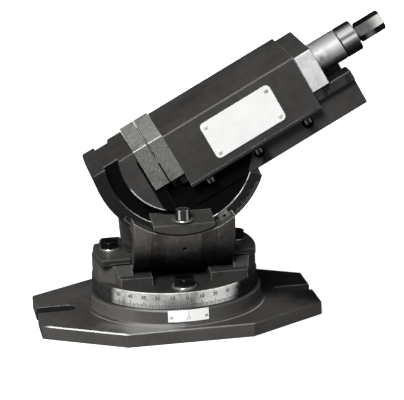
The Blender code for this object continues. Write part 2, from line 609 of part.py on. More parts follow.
def make_jaw_plate(name, sign, finish, parent, screw_finish):
    """A ground plate with a V groove along its gripping face and two sunk screws."""
    bottom, top = BED_TOP + GAP, JAW_TOP
    groove, half = 15.3 * MM, 1.6 * MM
    face = JAW_FACE + sign * 0.15 * MM
    back = JAW_FACE + sign * JAW_PLATE
    edge = 0.7 * MM
    outline = [(face, bottom + edge), (face, groove - half), (face + sign * half, groove)]
    outline += [(face, groove + half), (face, top - edge), (face + sign * edge, top)]
    outline += [(back, top), (back, bottom + edge), (back - sign * edge, bottom)]
    outline += [(face + sign * edge, bottom)]
    plate = extruded(name, outline, -JAW_HALF_WIDTH, JAW_HALF_WIDTH, "Y", finish, parent)
    for side, way in (("front", -1), ("back", 1)):
        spot = (0, way * JAW_SCREW_Y, JAW_SCREW_W)
        low, high = sorted((face - sign * 3 * MM, back + sign * 3 * MM))
        cut(plate, rod(name + "_hole_" + side, 4.4 * MM, low, high, "X", 20, parent, spot))
        depth = 9 * MM
        low, high = sorted((face - sign * 3 * MM, face + sign * depth))
        cut(plate, rod(name + "_sink_" + side, 6.9 * MM, low, high, "X", 24, parent, spot))
        head = (face + sign * (depth - GAP), way * JAW_SCREW_Y, JAW_SCREW_W)
        make_cap_screw(name + "_screw_" + side, 6.5 * MM, 7.6 * MM, 4 * MM, 20 * MM,
                       screw_finish, parent, head, "X", -sign)
    return plate


def make_nut(finishes, tilt):
    """The bronze nut that stands on the bed's floor inside the moving jaw."""
    half = 18 * MM
    crown = 14.5 * MM
    floor = CHANNEL_FLOOR + GAP
    shoulder = SCREW_W - 18 * MM
    outline = [(-half, floor), (half, floor), (half, shoulder - 4 * MM), (crown, shoulder)]
    outline += arc(crown, 0, math.pi, 16, (0, SCREW_W))
    outline += [(-crown, shoulder), (-half, shoulder - 4 * MM)]
    nut = extruded("spindle_nut", outline, NUT_START, NUT_END, "X", finishes["bronze"], tilt)
    place = (0, 0, SCREW_W)
    bore = SCREW_RADIUS + GAP
    cut(nut, rod("nut_bore", bore, NUT_START - 5 * MM, NUT_END + 5 * MM, "X", 24, tilt, place))
    for side, sign in (("front", -1), ("back", 1)):
        spot = ((NUT_START + NUT_END) / 2, sign * 11 * MM, 0)
        cut(nut, rod("nut_thread_" + side, 4.3 * MM, -50 * MM, -27 * MM, "Z", 20, tilt, spot))


def make_moving_jaw(finishes, slide):
    under = BED_TOP + GAP
    half, inside = JAW_HALF_WIDTH, RAIL_HALF_WIDTH + GAP
    edge = 1.2 * MM
    cavity = 24 * MM
    section = [(-half, SKIRT_BOTTOM), (-half, BOX_TOP - edge), (-half + edge, BOX_TOP)]
    section += [(half - edge, BOX_TOP), (half, BOX_TOP - edge), (half, SKIRT_BOTTOM)]
    section += [(inside, SKIRT_BOTTOM), (inside, under), (-inside, under), (-inside, SKIRT_BOTTOM)]
    jaw = extruded("moving_jaw", section, BOX_START, BOX_END, "X", finishes["casting"], slide)

    roof = [(-cavity, under - 5 * MM), (cavity, under - 5 * MM), (cavity, 6 * MM)]
    roof += [(cavity - 6 * MM, 12 * MM), (-cavity + 6 * MM, 12 * MM), (-cavity, 6 * MM)]
    cut(jaw, extruded("jaw_hollow", roof, 6 * MM, 131 * MM, "X", None, slide))
    place = (0, 0, SCREW_W)
    bore = SCREW_RADIUS + GAP
    cut(jaw, rod("jaw_bore", bore, 120 * MM, 160 * MM, "X", 24, slide, place))
    for side, sign in (("front", -1), ("back", 1)):
        spot = (0, sign * JAW_SCREW_Y, JAW_SCREW_W)
        cut(jaw, rod("jaw_screw_hole_" + side, 4.3 * MM, -10 * MM, 14 * MM, "X", 20, slide, spot))
        make_keeper(side, sign, finishes, slide, jaw)
    make_bearing_block(finishes, slide)

    plate = oblong(39.2 * MM, 19.9 * MM, 4.5 * MM, (68.7 * MM, -5.2 * MM))
    near = -half - GAP
    extruded("name_plate", plate, near - 0.8 * MM, near, "Y", finishes["white"], slide)


def make_keeper(side, sign, finishes, slide, jaw):
    """The strip under the jaw's skirt that reaches below the bed's rail, and its three screws."""
    outer, inner = JAW_HALF_WIDTH, BED_HALF_WIDTH + 1 * MM
    wall = RAIL_HALF_WIDTH + GAP
    bottom, top = KEEPER_BOTTOM, SKIRT_BOTTOM - GAP
    lip = RAIL_BOTTOM - GAP
    edge = 1.4 * MM
    outline = [(outer, bottom + edge), (outer, top), (wall, top), (wall, lip), (inner, lip)]
    outline += [(inner, bottom), (outer - edge, bottom)]
    outline = [(sign * y, w) for y, w in outline]
    start, end = BOX_START, BOX_END
    strip = extruded("keeper_strip_" + side, outline, start, end, "X", finishes["keeper"], slide)
    across = sign * 46.7 * MM
    for number, along in enumerate((13 * MM, 68 * MM, 124 * MM), 1):
        spot = (along, across, 0)
        label = side + "_" + str(number)
        cut(strip, rod("keeper_hole_" + label, 2.5 * MM, -50 * MM, -25 * MM, "Z", 16, slide, spot))
        cut(jaw, rod("skirt_hole_" + label, 2.5 * MM, -50 * MM, -20 * MM, "Z", 16, slide, spot))
        head = (along, across, bottom - GAP)
        make_cap_screw("keeper_screw_" + label, 4.25 * MM, 5 * MM, 2.2 * MM, 15 * MM,
                       finishes["black"], slide, head, "Z", -1)


def make_bearing_block(finishes, slide):
    """The block behind the jaw that holds the screw's bearing sleeve."""
    start, end = BOX_END + GAP, BLOCK_END
    half, low, high = 46 * MM, -18.8 * MM, 21.4 * MM
    outline = [(-half, low), (half, low), (half, high), (-half, high)]
    block = extruded("bearing_block", outline, start, end, "X", finishes["steel"], slide)
    soften(block, 0.7 * MM)
    place = (0, 0, SCREW_W)
    bore = rod("block_bore", SLEEVE_RADIUS + GAP - 3 * MM, start - 5 * MM, end + 5 * MM, "X", 32,
               slide, place)
    seat = rod("block_seat", SLEEVE_RADIUS + GAP, start + 6 * MM, end + 5 * MM, "X", 32, slide, place)
    cut(block, bore, seat)

    inner, outer = SCREW_RADIUS + 0.6 * MM, SLEEVE_RADIUS
    first, last = start + 6 * MM + GAP, SCREW_COLLAR_START - GAP
    edge = 0.6 * MM
    profile = [(inner, first), (outer, first), (outer, last - edge), (outer - edge, last), (inner, last)]
    turned("bearing_sleeve", profile, "X", 32, finishes["sleeve"], slide, place)


def make_spindle(finishes, turn):
    """The screw: a threaded bar, a thrust collar outside the sleeve and a hexagonal drive end."""
    collar, bar, neck = SLEEVE_RADIUS, SCREW_RADIUS, 8.4 * MM
    drive = SCREW_COLLAR_END + 2.2 * MM
    edge = 0.9 * MM
    profile = [(0, SCREW_START), (bar - 1.5 * MM, SCREW_START), (bar, SCREW_START + 1.5 * MM)]
    profile += [(bar, SCREW_COLLAR_START), (collar - edge, SCREW_COLLAR_START)]
    profile += [(collar, SCREW_COLLAR_START + edge), (collar, SCREW_COLLAR_END - edge)]
    profile += [(collar - edge, SCREW_COLLAR_END), (neck, SCREW_COLLAR_END), (neck, drive + 4 * MM)]
    profile += [(0, drive + 4 * MM)]
    place = (0, 0, 0)
    spindle = turned("spindle", profile, "X", 30, finishes["chrome"], turn, place)
    corner = DRIVE_FLATS / math.sqrt(3)
    hexagon = extruded("drive_hexagon", ring(corner, 6, turn=math.radians(10)), drive, SCREW_END, "X",
                       None, turn, place)
    limit = [(0, drive - 1 * MM), (corner * 0.9, drive - 1 * MM), (corner * 1.02, drive + 1.2 * MM)]
    limit += [(corner * 1.02, SCREW_END - 1.4 * MM), (corner * 0.86, SCREW_END + 0.1 * MM)]
    limit += [(0, SCREW_END + 0.1 * MM)]
    keep_inside(hexagon, turned("drive_chamfer", limit, "X", 24, None, turn, place))
    join(spindle, hexagon)

    start, end = 120.6 * MM, 130.6 * MM
    bore = SCREW_RADIUS + GAP
    profile = [(bore, start), (14 * MM, start), (14.8 * MM, start + 0.8 * MM)]
    profile += [(14.8 * MM, end), (bore, end)]
    turned("spindle_lock_collar", profile, "X", 24, finishes["steel"], turn, place)


def main():
    clear_scene()
    finishes = {
        "casting": make_finish("dark_cast_iron", (0.115, 0.11, 0.102), 0.5, 0.15),
        "turntable": make_finish("satin_cast_iron", (0.42, 0.415, 0.4), 0.38, 0.7),
        "rocker": make_finish("machined_cast_iron", (0.2, 0.195, 0.185), 0.42, 0.55),
        "clamp": make_finish("blackened_clamp_steel", (0.17, 0.165, 0.155), 0.45, 0.4),
        "keeper": make_finish("oiled_keeper_steel", (0.12, 0.115, 0.11), 0.45, 0.5),
        "steel": make_finish("ground_steel", (0.62, 0.62, 0.6), 0.3, 0.9),
        "jaw": make_finish("ground_jaw_steel", (0.5, 0.5, 0.49), 0.34, 0.85),
        "bright": make_finish("bright_fastener_steel", (0.72, 0.72, 0.7), 0.2, 1.0),
        "chrome": make_finish("polished_spindle_steel", (0.7, 0.7, 0.7), 0.14, 1.0),
        "sleeve": make_finish("matt_sleeve_steel", (0.55, 0.55, 0.55), 0.45, 0.7),
        "black": make_finish("black_oxide_steel", (0.025, 0.026, 0.028), 0.4, 0.6),
        "bronze": make_finish("bronze", (0.5, 0.33, 0.14), 0.35, 0.9),
        "white": make_finish("pale_plate", (0.85, 0.85, 0.84), 0.4, 0.1),
    }
    swivel = add_axis("swivel_axis")
    rock = add_axis("rock_axis", swivel, (ROCK_X, 0, ROCK_Z))
    tilt = add_axis("tilt_axis", rock, (0, 0, TILT_Z - ROCK_Z), -TILT)
    slide = add_axis("jaw_slide", tilt)
    turn = add_axis("spindle_axis", slide, (0, 0, SCREW_W))

    make_base(finishes)
    make_turntable(finishes, swivel)
    make_rocker(finishes, rock)
    make_vise_body(finishes, tilt)
    make_jaw_plate("fixed_jaw_plate", -1, finishes["jaw"], tilt, finishes["black"])
    make_nut(finishes, tilt)
    make_moving_jaw(finishes, slide)
    make_jaw_plate("moving_jaw_plate", 1, finishes["jaw"], slide, finishes["black"])
    make_spindle(finishes, turn)
    bpy.context.view_layer.update()


main()
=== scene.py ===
import math
from functools import partial

import bmesh
import bpy
from mathutils import Matrix, Vector


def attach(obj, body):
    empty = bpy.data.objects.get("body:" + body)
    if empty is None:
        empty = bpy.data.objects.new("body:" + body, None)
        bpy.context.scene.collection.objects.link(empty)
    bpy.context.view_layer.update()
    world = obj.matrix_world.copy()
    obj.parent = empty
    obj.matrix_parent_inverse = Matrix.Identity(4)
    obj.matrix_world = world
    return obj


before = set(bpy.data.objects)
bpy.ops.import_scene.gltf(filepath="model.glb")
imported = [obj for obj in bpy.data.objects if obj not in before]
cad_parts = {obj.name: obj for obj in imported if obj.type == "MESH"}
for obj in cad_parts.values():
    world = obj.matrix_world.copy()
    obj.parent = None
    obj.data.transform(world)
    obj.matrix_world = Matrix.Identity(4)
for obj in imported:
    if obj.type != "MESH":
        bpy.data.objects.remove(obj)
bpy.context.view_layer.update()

# The looks of a three-axis machine vise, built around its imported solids. Metres, +Z up. X runs along
# the base. Pieces of the tilting vise are drawn in its own frame: U along the bed, Y across, W up.
# A finish reads the place of a point in metres at rest, so most limits below are places on the solids.

bl_info = {
    "name": "Three-axis vise finishes",
    "version": (1, 0, 0),
    "blender": (4, 5, 0),
    "location": "View3D > Sidebar > Vise",
    "description": "Finishes, scales, plates and stage for the three-axis machine vise",
    "category": "Object",
}

MM = 0.001

TILT = math.radians(27.75)
TILT_CENTRE = Vector((0.003, 0.0, 0.1764))
ROCK_CENTRE = Vector((0.003, 0.0, 0.112))
TILT_TO_WORLD = Matrix.Translation(TILT_CENTRE) @ Matrix.Rotation(-TILT, 4, "Y")
WORLD_TO_TILT = TILT_TO_WORLD.inverted()

DRUM_RADIUS = 83 * MM
DRUM_BOTTOM = 29.3 * MM
BAND_MARGIN = 1.0 * MM
SEAT_ABOVE_ROCK_CENTRE = 64.4 * MM
CHEEK_RADIUS = 79.5 * MM
CAP_SHARE = 0.7          # Height of the font's figures over its size
MARK_SUNK = 0.1 * MM
MARK_RAISED = 0.04 * MM
RIM_FACE_Y = 46 * MM
RIM_RADIUS = 87 * MM
RIM_MARGIN = 1.4 * MM
TILT_SCALE_DEGREES = range(-160, -51)
JAWS_MEET_U = -22.1 * MM
KEEPER_SCREWS_U = (13 * MM, 68 * MM, 124 * MM)
KEEPER_SHADE_W = -44.6 * MM

SPINDLE_W = -3.3 * MM
SPINDLE_RADIUS = 10 * MM
THREAD_START = 14 * MM
THREAD_END = 120 * MM
THREAD_ROOT = SPINDLE_RADIUS - 0.12 * MM
THREAD_SUNK = 0.02 * MM

NAME_PLATE_CENTRE = (68.7 * MM, -5.2 * MM)
NAME_PLATE_FACE_Y = -51.1 * MM
NAME_PLATE_RIVETS = (34 * MM, 14.6 * MM)
INDEX_PLATE_RADIUS = 88 * MM
INDEX_PLATE_MIDDLE = 22.9 * MM
INDEX_PLATE_RIVETS_U = (-17.3 * MM, 17.3 * MM)
INDEX_LINE = (24.4 * MM, 28.4 * MM)
FRONT = math.radians(-90)

# Painted light and shade round an axis, as pairs of an angle in degrees and a level. 0 faces the front and
# 90 faces up.
SLEEVE_PAINTED_LIGHT = ((-75, 0.02), (-42, 0.05), (-25, 0.25), (-8, 0.85), (10, 1.25), (38, 0.8), (62, 0.62),
                (82, 0.4), (104, 0.15))
COLLAR_PAINTED_LIGHT = ((-75, 0.02), (-28, 0.03), (-10, 0.08), (1, 0.4), (11, 1.5), (22, 0.22), (34, 1.0),
                (45, 0.95), (58, 0.25), (70, 0.02), (104, 0.01))
DRIVE_END_PAINTED_LIGHT = ((-60, 0.02), (-20, 0.08), (0, 1.0), (50, 1.0), (66, 0.02))
# Painted glints on the screw heads and painted shade on the scale band. 0 faces the front here too, and 90
# faces the right.
SCREW_HEAD_PAINTED_GLINTS = ((-90, 0.02), (-50, 0.04), (-40, 0.9), (-34, 0.8), (-24, 0.06), (12, 0.05),
                    (25, 0.5), (31, 1.2), (38, 0.2), (52, 0.04))
BAND_MIDDLE_SHADE = ((-34, 0.0), (-14, 1.0), (2, 1.0), (16, 0.0))

# Lights as name, place, width and height, all aimed at LIT_POINT. Their power is in the settings.
LIGHTS = (
    ("key", (-0.8, -1.5, 1.6), 1.0, 0.8),
    ("fill", (0.75, -1.7, 0.12), 0.4, 0.3),
    ("top", (-0.35, 0.25, 1.5), 0.8, 0.8),
    ("rear", (0.95, 1.75, 0.42), 1.2, 0.7),
)
LIT_POINT = Vector((0.0, 0.0, 0.12))
BRIGHT_WALL = Vector((-0.30, -0.92, 0.24)).normalized()
CAMERA_PLACE = (-0.3026, -2.0924, 0.69965)
CAMERA_ANGLES = (-9.064, 15.443, -2.191)


def grey(level):
    return (level, level, level)


# Node helpers


def feed(tree, socket, value):
    """Join a node's output to a socket, or set the socket to a number, word, vector or colour."""
    if isinstance(value, Value):
        value = value.socket
    if isinstance(value, bpy.types.NodeSocket):
        tree.links.new(value, socket)
    elif socket.type == "RGBA":
        socket.default_value = (*value, 1.0)
    elif socket.type == "VECTOR":
        socket.default_value = tuple(value)
    else:
        socket.default_value = value


def configured(thing, **settings):
    for name, value in settings.items():
        setattr(thing, name, value)
    return thing


def empty_tree(owner):
    """The cleared node tree of a material or a world."""
    owner.use_nodes = True
    owner.node_tree.nodes.clear()
    return owner.node_tree


def add_node(tree, kind, values=None, **settings):
    """A node with these settings, and these values by the name or number of an input."""
    node = configured(tree.nodes.new("ShaderNode" + kind if tree.type == "SHADER" else kind), **settings)
    for key, value in (values or {}).items():
        feed(tree, node.inputs[key], value)
    return node


def smooth_step(tree, value, low, high, start, end):
    """start on low's side, end on high's side, and a smooth step between them."""
    values = {"Value": value, "From Min": low, "From Max": high, "To Min": start, "To Max": end}
    return add_node(tree, "MapRange", values, interpolation_type="SMOOTHSTEP").outputs["Result"]


def link_object(name, data):
    """A new object in the scene."""
    thing = bpy.data.objects.new(name, data)
    bpy.context.scene.collection.objects.link(thing)
    return thing


class Value:
    """A node's output that takes arithmetic. For masks, * is and, | is or, and ~ is not."""

    def __init__(self, finish, socket):
        self.finish = finish
        self.socket = socket

    def __add__(self, other):
        return self.finish.math("ADD", self, other)

    def __sub__(self, other):
        return self.finish.math("SUBTRACT", self, other)

    def __mul__(self, other):
        return self.finish.math("MULTIPLY", self, other)

    def __or__(self, other):
        return self.finish.math("MAXIMUM", self, other)

    def __invert__(self):
        return self.finish.math("SUBTRACT", 1.0, self)

    def __neg__(self):
        return self * -1.0

    def __abs__(self):
        return self.finish.math("ABSOLUTE", self)

    def times(self, other):
        """The product, held between 0 and 1."""
        return self.finish.math("MULTIPLY", self, other, clamp=True)

    def span(self, low, high, start=0.0, end=1.0):
        """A smooth step of this value."""
        return Value(self.finish, smooth_step(self.finish.tree, self, low, high, start, end))

    def mm(self, low, high, start=0.0, end=1.0):
        """span with its limits in millimetres."""
        return self.span(low * MM, high * MM, start, end)

    def degrees(self, low, high, start=0.0, end=1.0):
        """span with its limits in degrees."""
        return self.span(math.radians(low), math.radians(high), start, end)

    def vary(self, start, end):
        """span over the middle of what a noise gives."""
        return self.span(0.3, 0.7, start, end)

    def fade(self, start, end):
        """span over a whole mask."""
        return self.span(0.0, 1.0, start, end)

    def levels(self, stops):
        """Follow smooth steps between stops, given as angle in degrees and level."""
        total = stops[0][1]
        for (here, low), (there, high) in zip(stops, stops[1:]):
            total = self.degrees(here, there, 0.0, high - low) + total
        return total

    def pick(self, first, second, kind=None):
        return self.finish.pick(self, first, second, kind)

    def tinted(self, level):
        return self.finish.tinted(self, level)


class Finish:
    """One procedural material, with the place and the facing of its points as Values."""

    # The two inputs and the output that each kind of mix node uses
    MIX_SOCKETS = {"FLOAT": (2, 3, 0), "VECTOR": (4, 5, 1), "RGBA": (6, 7, 2)}

    def __init__(self, name, tilted=False, centre=(0.0, 0.0, 0.0)):
        self.material = bpy.data.materials.new(name)
        self.material.use_nodes = True
        self.tree = self.material.node_tree
        self.tilted = tilted
        coordinates = add_node(self.tree, "TexCoord")
        facing = add_node(self.tree, "SeparateXYZ", {0: coordinates.outputs["Normal"]})
        self.facing_x, self.facing_y, self.facing_z = (Value(self, part) for part in facing.outputs)
        turn = (0.0, TILT, 0.0) if tilted else (0.0, 0.0, 0.0)
        shift = WORLD_TO_TILT.to_translation() if tilted else -Vector(centre)
        values = {"Vector": coordinates.outputs["Object"], "Rotation": turn, "Location": shift}
        self.place = self.node("Mapping", "Vector", values)
        parts = add_node(self.tree, "SeparateXYZ", {0: self.place})
        self.x, self.y, self.z = (Value(self, part) for part in parts.outputs)

    def node(self, kind, output, values, **settings):
        """A new node's output as a Value."""
        return Value(self, add_node(self.tree, kind, values, **settings).outputs[output])

    def math(self, operation, *parts, clamp=False):
        return self.node("Math", 0, dict(enumerate(parts)), operation=operation, use_clamp=clamp)

    def radius(self, first, second):
        return self.math("SQRT", first * first + second * second)

    def angle(self, opposite, adjacent):
        return self.math("ARCTAN2", opposite, adjacent)

    def facing_along(self):
        """How far a face looks along the piece's own X, which leans on the tilting vise."""
        lean = TILT if self.tilted else 0.0
        return self.facing_x * math.cos(lean) + self.facing_z * math.sin(lean)

    def vector(self, *parts):
        return self.node("CombineXYZ", 0, dict(enumerate(parts)))

    def stretched(self, x, y, z):
        """The place with each direction scaled, in waves a metre."""
        return self.vector(self.x * x, self.y * y, self.z * z)

    def noise(self, scale, detail, rough, place=None, distortion=0.0):
        values = {"Vector": place or self.place, "Scale": scale, "Detail": detail, "Roughness": rough,
                  "Distortion": distortion}
        return self.node("TexNoise", 0, values)

    def cells(self, scale):
        return self.node("TexVoronoi", "Distance", {"Vector": self.place, "Scale": scale})

    def pick(self, share, first, second, kind=None):
        """first where share is 0 and second where it is 1. kind is VECTOR for normals."""
        number = isinstance(first, float) or isinstance(first, Value) and first.socket.type == "VALUE"
        kind = kind or ("FLOAT" if number else "RGBA")
        start, end, output = self.MIX_SOCKETS[kind]
        return self.node("Mix", output, {0: share, start: first, end: second}, data_type=kind)

    def tinted(self, colour, level):
        """A colour made lighter or darker by a level round 1."""
        return self.node("VectorMath", 0, {0: colour, "Scale": level}, operation="SCALE")

    def worn_edge(self, width):
        """1 along outward edges, falling to 0 at this width in millimetres from them."""
        return ~self.node("AmbientOcclusion", "AO", {"Distance": width * MM},
                          inside=True, only_local=True, samples=6)

    def corner_dirt(self, reach):
        """1 deep in a corner, falling to 0 on faces open to this reach in millimetres. Finishes darken by
        it, as soil and painted shade.
        """
        return ~self.node("AmbientOcclusion", "AO", {"Distance": reach * MM}, samples=6)

    def soiled(self, metal, reach, amount=0.9, grime_and_shade=(0.01, 0.009, 0.009), full=0.8):
        """A colour darkened in the corners, as soil and painted shade."""
        return (self.corner_dirt(reach).span(0.35, full) * amount).pick(metal, grime_and_shade)

    def bump(self, height, depth, strength, under=None):
        """Normals of a relief this many millimetres deep."""
        values = {"Height": height, "Distance": depth * MM, "Strength": strength}
        if under:
            values["Normal"] = under
        return self.node("Bump", "Normal", values)

    def done(self, colour, roughness, metallic, normal, specular):
        values = {"Base Color": colour, "Roughness": roughness, "Metallic": metallic, "Normal": normal,
                  "Specular IOR Level": specular}
        for name, value in values.items():
            feed(self.tree, self.tree.nodes["Principled BSDF"].inputs[name], value)
        return self.material


# The finishes


def paint_layers(finish, colour, rough=0.42):
    """Colour, roughness and bump of sprayed paint over a sand casting, before wear."""
    broad = finish.noise(16, 3, 0.55)
    fine = finish.noise(150, 3, 0.6)
    coat = finish.tinted(colour, broad.vary(0.86, 1.12) + fine.vary(-0.07, 0.07))
    gloss = broad.vary(rough - 0.05, rough + 0.05) + fine.span(0.25, 0.75, -0.05, 0.07)
    cast = finish.bump(finish.noise(520, 3, 0.6), 0.22, 0.5)
    return coat, gloss, finish.bump(finish.noise(1500, 2, 0.5), 0.06, 0.5, cast)


def add_wear(finish, coat, gloss, amount=1.0, width=1.1, bare=(0.42, 0.41, 0.39)):
    """Bare metal along rubbed edges, and darkening in corners as grease and painted shade. Returns colour,
    roughness and metal share.
    """
    rubbed = finish.noise(70, 4, 0.65).span(0.35, 0.65, 0.0, 0.6)
    nicks = finish.noise(480, 2, 0.6).span(0.35, 0.7, 0.0, 0.5)
    worn = finish.worn_edge(width).span(0.1, 0.4).times(rubbed + nicks).times(amount)
    dirt_and_shade = finish.corner_dirt(7).span(0.35, 0.85) * 0.6
    coat = worn.pick(dirt_and_shade.pick(coat, (0.008, 0.0075, 0.007)), bare)
    gloss = worn.pick(dirt_and_shade.pick(gloss, 0.6), 0.33)
    return coat, gloss, worn * 0.9


def machined_layers(finish, colour, along, rough=0.36, stain=(0.05, 0.045, 0.04), depth=0.03):
    """Colour, roughness and bump of cutter marks with oil stains. along is a stretched place."""
    marks = finish.noise(1.0, 4, 0.65, along)
    specks = finish.noise(420, 3, 0.7)
    metal = finish.tinted(colour, marks.span(0.25, 0.75, 0.72, 1.2) + specks.vary(-0.14, 0.12))
    stained = finish.noise(38, 4, 0.65, distortion=0.4).span(0.45, 0.68) * 0.65
    gloss = marks.span(0.2, 0.8, rough - 0.09, rough + 0.1) + stained * 0.14
    return stained.pick(metal, stain), gloss, finish.bump(marks, depth, 0.6)


def painted_casting(name, look, tilted=False, width=0.65, level=1.0):
    """Paint of one tone, worn along the edges."""
    finish = Finish(name, tilted)
    coat, gloss, normal = paint_layers(finish, look.paint)
    coat, gloss, metal = add_wear(finish, coat.tinted(level), gloss, look.edge_wear, width)
    return finish.done(coat, gloss, metal, normal, 0.42)


def base_finish(look):
    """Paint, lighter on the upright sides, with painted light on the left of the top and the collar's left,
    painted shade in the slots, a painted glare in front of the collar, a painted shadow at the far right,
    and painted highlights round the collar's foot and along the front-left top edges.
    """
    finish = Finish("base_paint")
    x, y, z = finish.x, finish.y, finish.z
    reach = finish.radius(x, y)
    coat, gloss, normal = paint_layers(finish, look.paint)
    upright = abs(finish.facing_z).span(0.8, 0.45)
    flat = ~upright
    beside_slots = abs(y).mm(9.3, 9.8)
    coat = coat.tinted((upright * beside_slots).fade(1.0, 1.8))
    # Painted light: the left of the top and the collar's left-facing side are lighter
    coat = coat.tinted((x.mm(-30, -110) * flat).fade(1.0, 1.25))
    collar_left_painted_light = upright * reach.mm(90, 88) * finish.facing_x.span(-0.3, -0.8)
    coat = coat.tinted(collar_left_painted_light.fade(1.0, 1.7))
    # Painted shade: the slots' walls near black
    slot_wall_shade = upright * ~beside_slots * abs(x).mm(96, 98)
    coat = (slot_wall_shade * 0.9).pick(coat, grey(0.004))

    cloud = finish.noise(34, 4, 0.6).vary(-9 * MM, 9 * MM)
    # A painted glare, pale on the top in front of the collar
    painted_glare = finish.radius((x + 38 * MM) * 0.55, y + 84 * MM) + cloud
    coat = (painted_glare.mm(34, 4) * flat * 0.6).pick(coat, (0.27, 0.265, 0.26))
    # A painted shadow over the far right of the top, near black and less shiny
    painted_shadow = (x + y * 0.9 + cloud).mm(45, 115) * flat
    coat = (painted_shadow * 0.93).pick(coat, grey(0.0025))
    # A painted highlight round the foot of the collar
    fillet_highlight = reach.mm(89.4, 89.9) * reach.mm(91.0, 90.5) * z.mm(14.6, 14.3) * y.mm(-10, -50)
    coat = (fillet_highlight * 0.5).pick(coat, (0.5, 0.49, 0.48))
    coat, gloss, metal = add_wear(finish, coat, gloss, look.edge_wear, 0.9, (0.55, 0.54, 0.52))

    # Painted highlights along the top's front-left and front edges, ragged by noise
    ragged = finish.noise(120, 3, 0.6).vary(-0.5 * MM, 0.5 * MM)
    past_left_edge = x * -0.533 + y * -0.846 + ragged
    left_edge_highlight = past_left_edge.mm(115.0, 115.6) * x.mm(-57, -66) * x.mm(-138, -131) * z.mm(12.6, 12.9)
    coat = (left_edge_highlight * 0.85).pick(coat, (0.72, 0.71, 0.7))
    front_edge_highlight = y.mm(-97.6, -98.0) * z.mm(12.9, 13.2) * x.mm(-64, -58)
    coat = (front_edge_highlight * 0.22).pick(coat, (0.6, 0.59, 0.58))
    return finish.done(coat, gloss, metal, normal, painted_shadow.fade(0.42, 0.12))


def turntable_finish(look):
    """Painted top and saddle blocks with painted light on the walls that face left, and the bright turned
    band that carries the scale, with painted shade and a painted highlight round it.
    """
    finish = Finish("turntable_paint_and_band")
    x, y, z = finish.x, finish.y, finish.z
    reach = finish.radius(x, y)
    coat, gloss, normal = paint_layers(finish, look.paint)
    # Painted light: walls that face left are lighter, the outer ones most
    painted_lit_wall = finish.facing_x.span(-0.3, -0.6) * reach.mm(73.0, 74.5).fade(0.1, 1.4)
    coat = coat.tinted(painted_lit_wall + finish.facing_x.span(-0.3, -0.6, 0.62, 0.66))
    coat, gloss, metal = add_wear(finish, coat, gloss, look.edge_wear)

    band = reach.mm(82.0, 82.3) * z.mm(45.7, 45.9, 1.0, 0.0)
    turned = finish.vector(finish.angle(y, x) * 5.0, 0.0, z * 2600.0)
    steel, shine, marks = machined_layers(finish, look.band, turned, 0.34, (0.16, 0.15, 0.135))
    pits = finish.cells(95).span(0.0, 0.075, 1.0, 0.0) * finish.noise(30, 3, 0.6).span(0.5, 0.62)
    steel = (pits * 0.8).pick(steel, (0.03, 0.024, 0.02))
    # Painted shade and highlight round the band by bearing: black to the right and far left, darker at the
    # middle front, lighter right of the front, and less metallic and shiny where black
    bearing = finish.angle(x, -y) + finish.noise(20, 3, 0.6).vary(-0.09, 0.09)
    painted_shade = bearing.degrees(30, 46) | bearing.degrees(-46, -60, 0.0, 0.97)
    middle = bearing.levels(BAND_MIDDLE_SHADE) * z.mm(44, 36, 0.25, 0.72)
    steel = middle.pick(steel, (0.1, 0.097, 0.094))
    steel = steel.tinted(bearing.degrees(10, 24, 1.0, 1.6))
    steel = painted_shade.pick(steel, (0.012, 0.0115, 0.011))
    metallic = band.pick(metal, painted_shade.fade(0.5, 0.1))
    return finish.done(band.pick(coat, steel), band.pick(gloss, shine), metallic,
                       band.pick(normal, marks, "VECTOR"), (band * painted_shade).fade(0.42, 0.1))


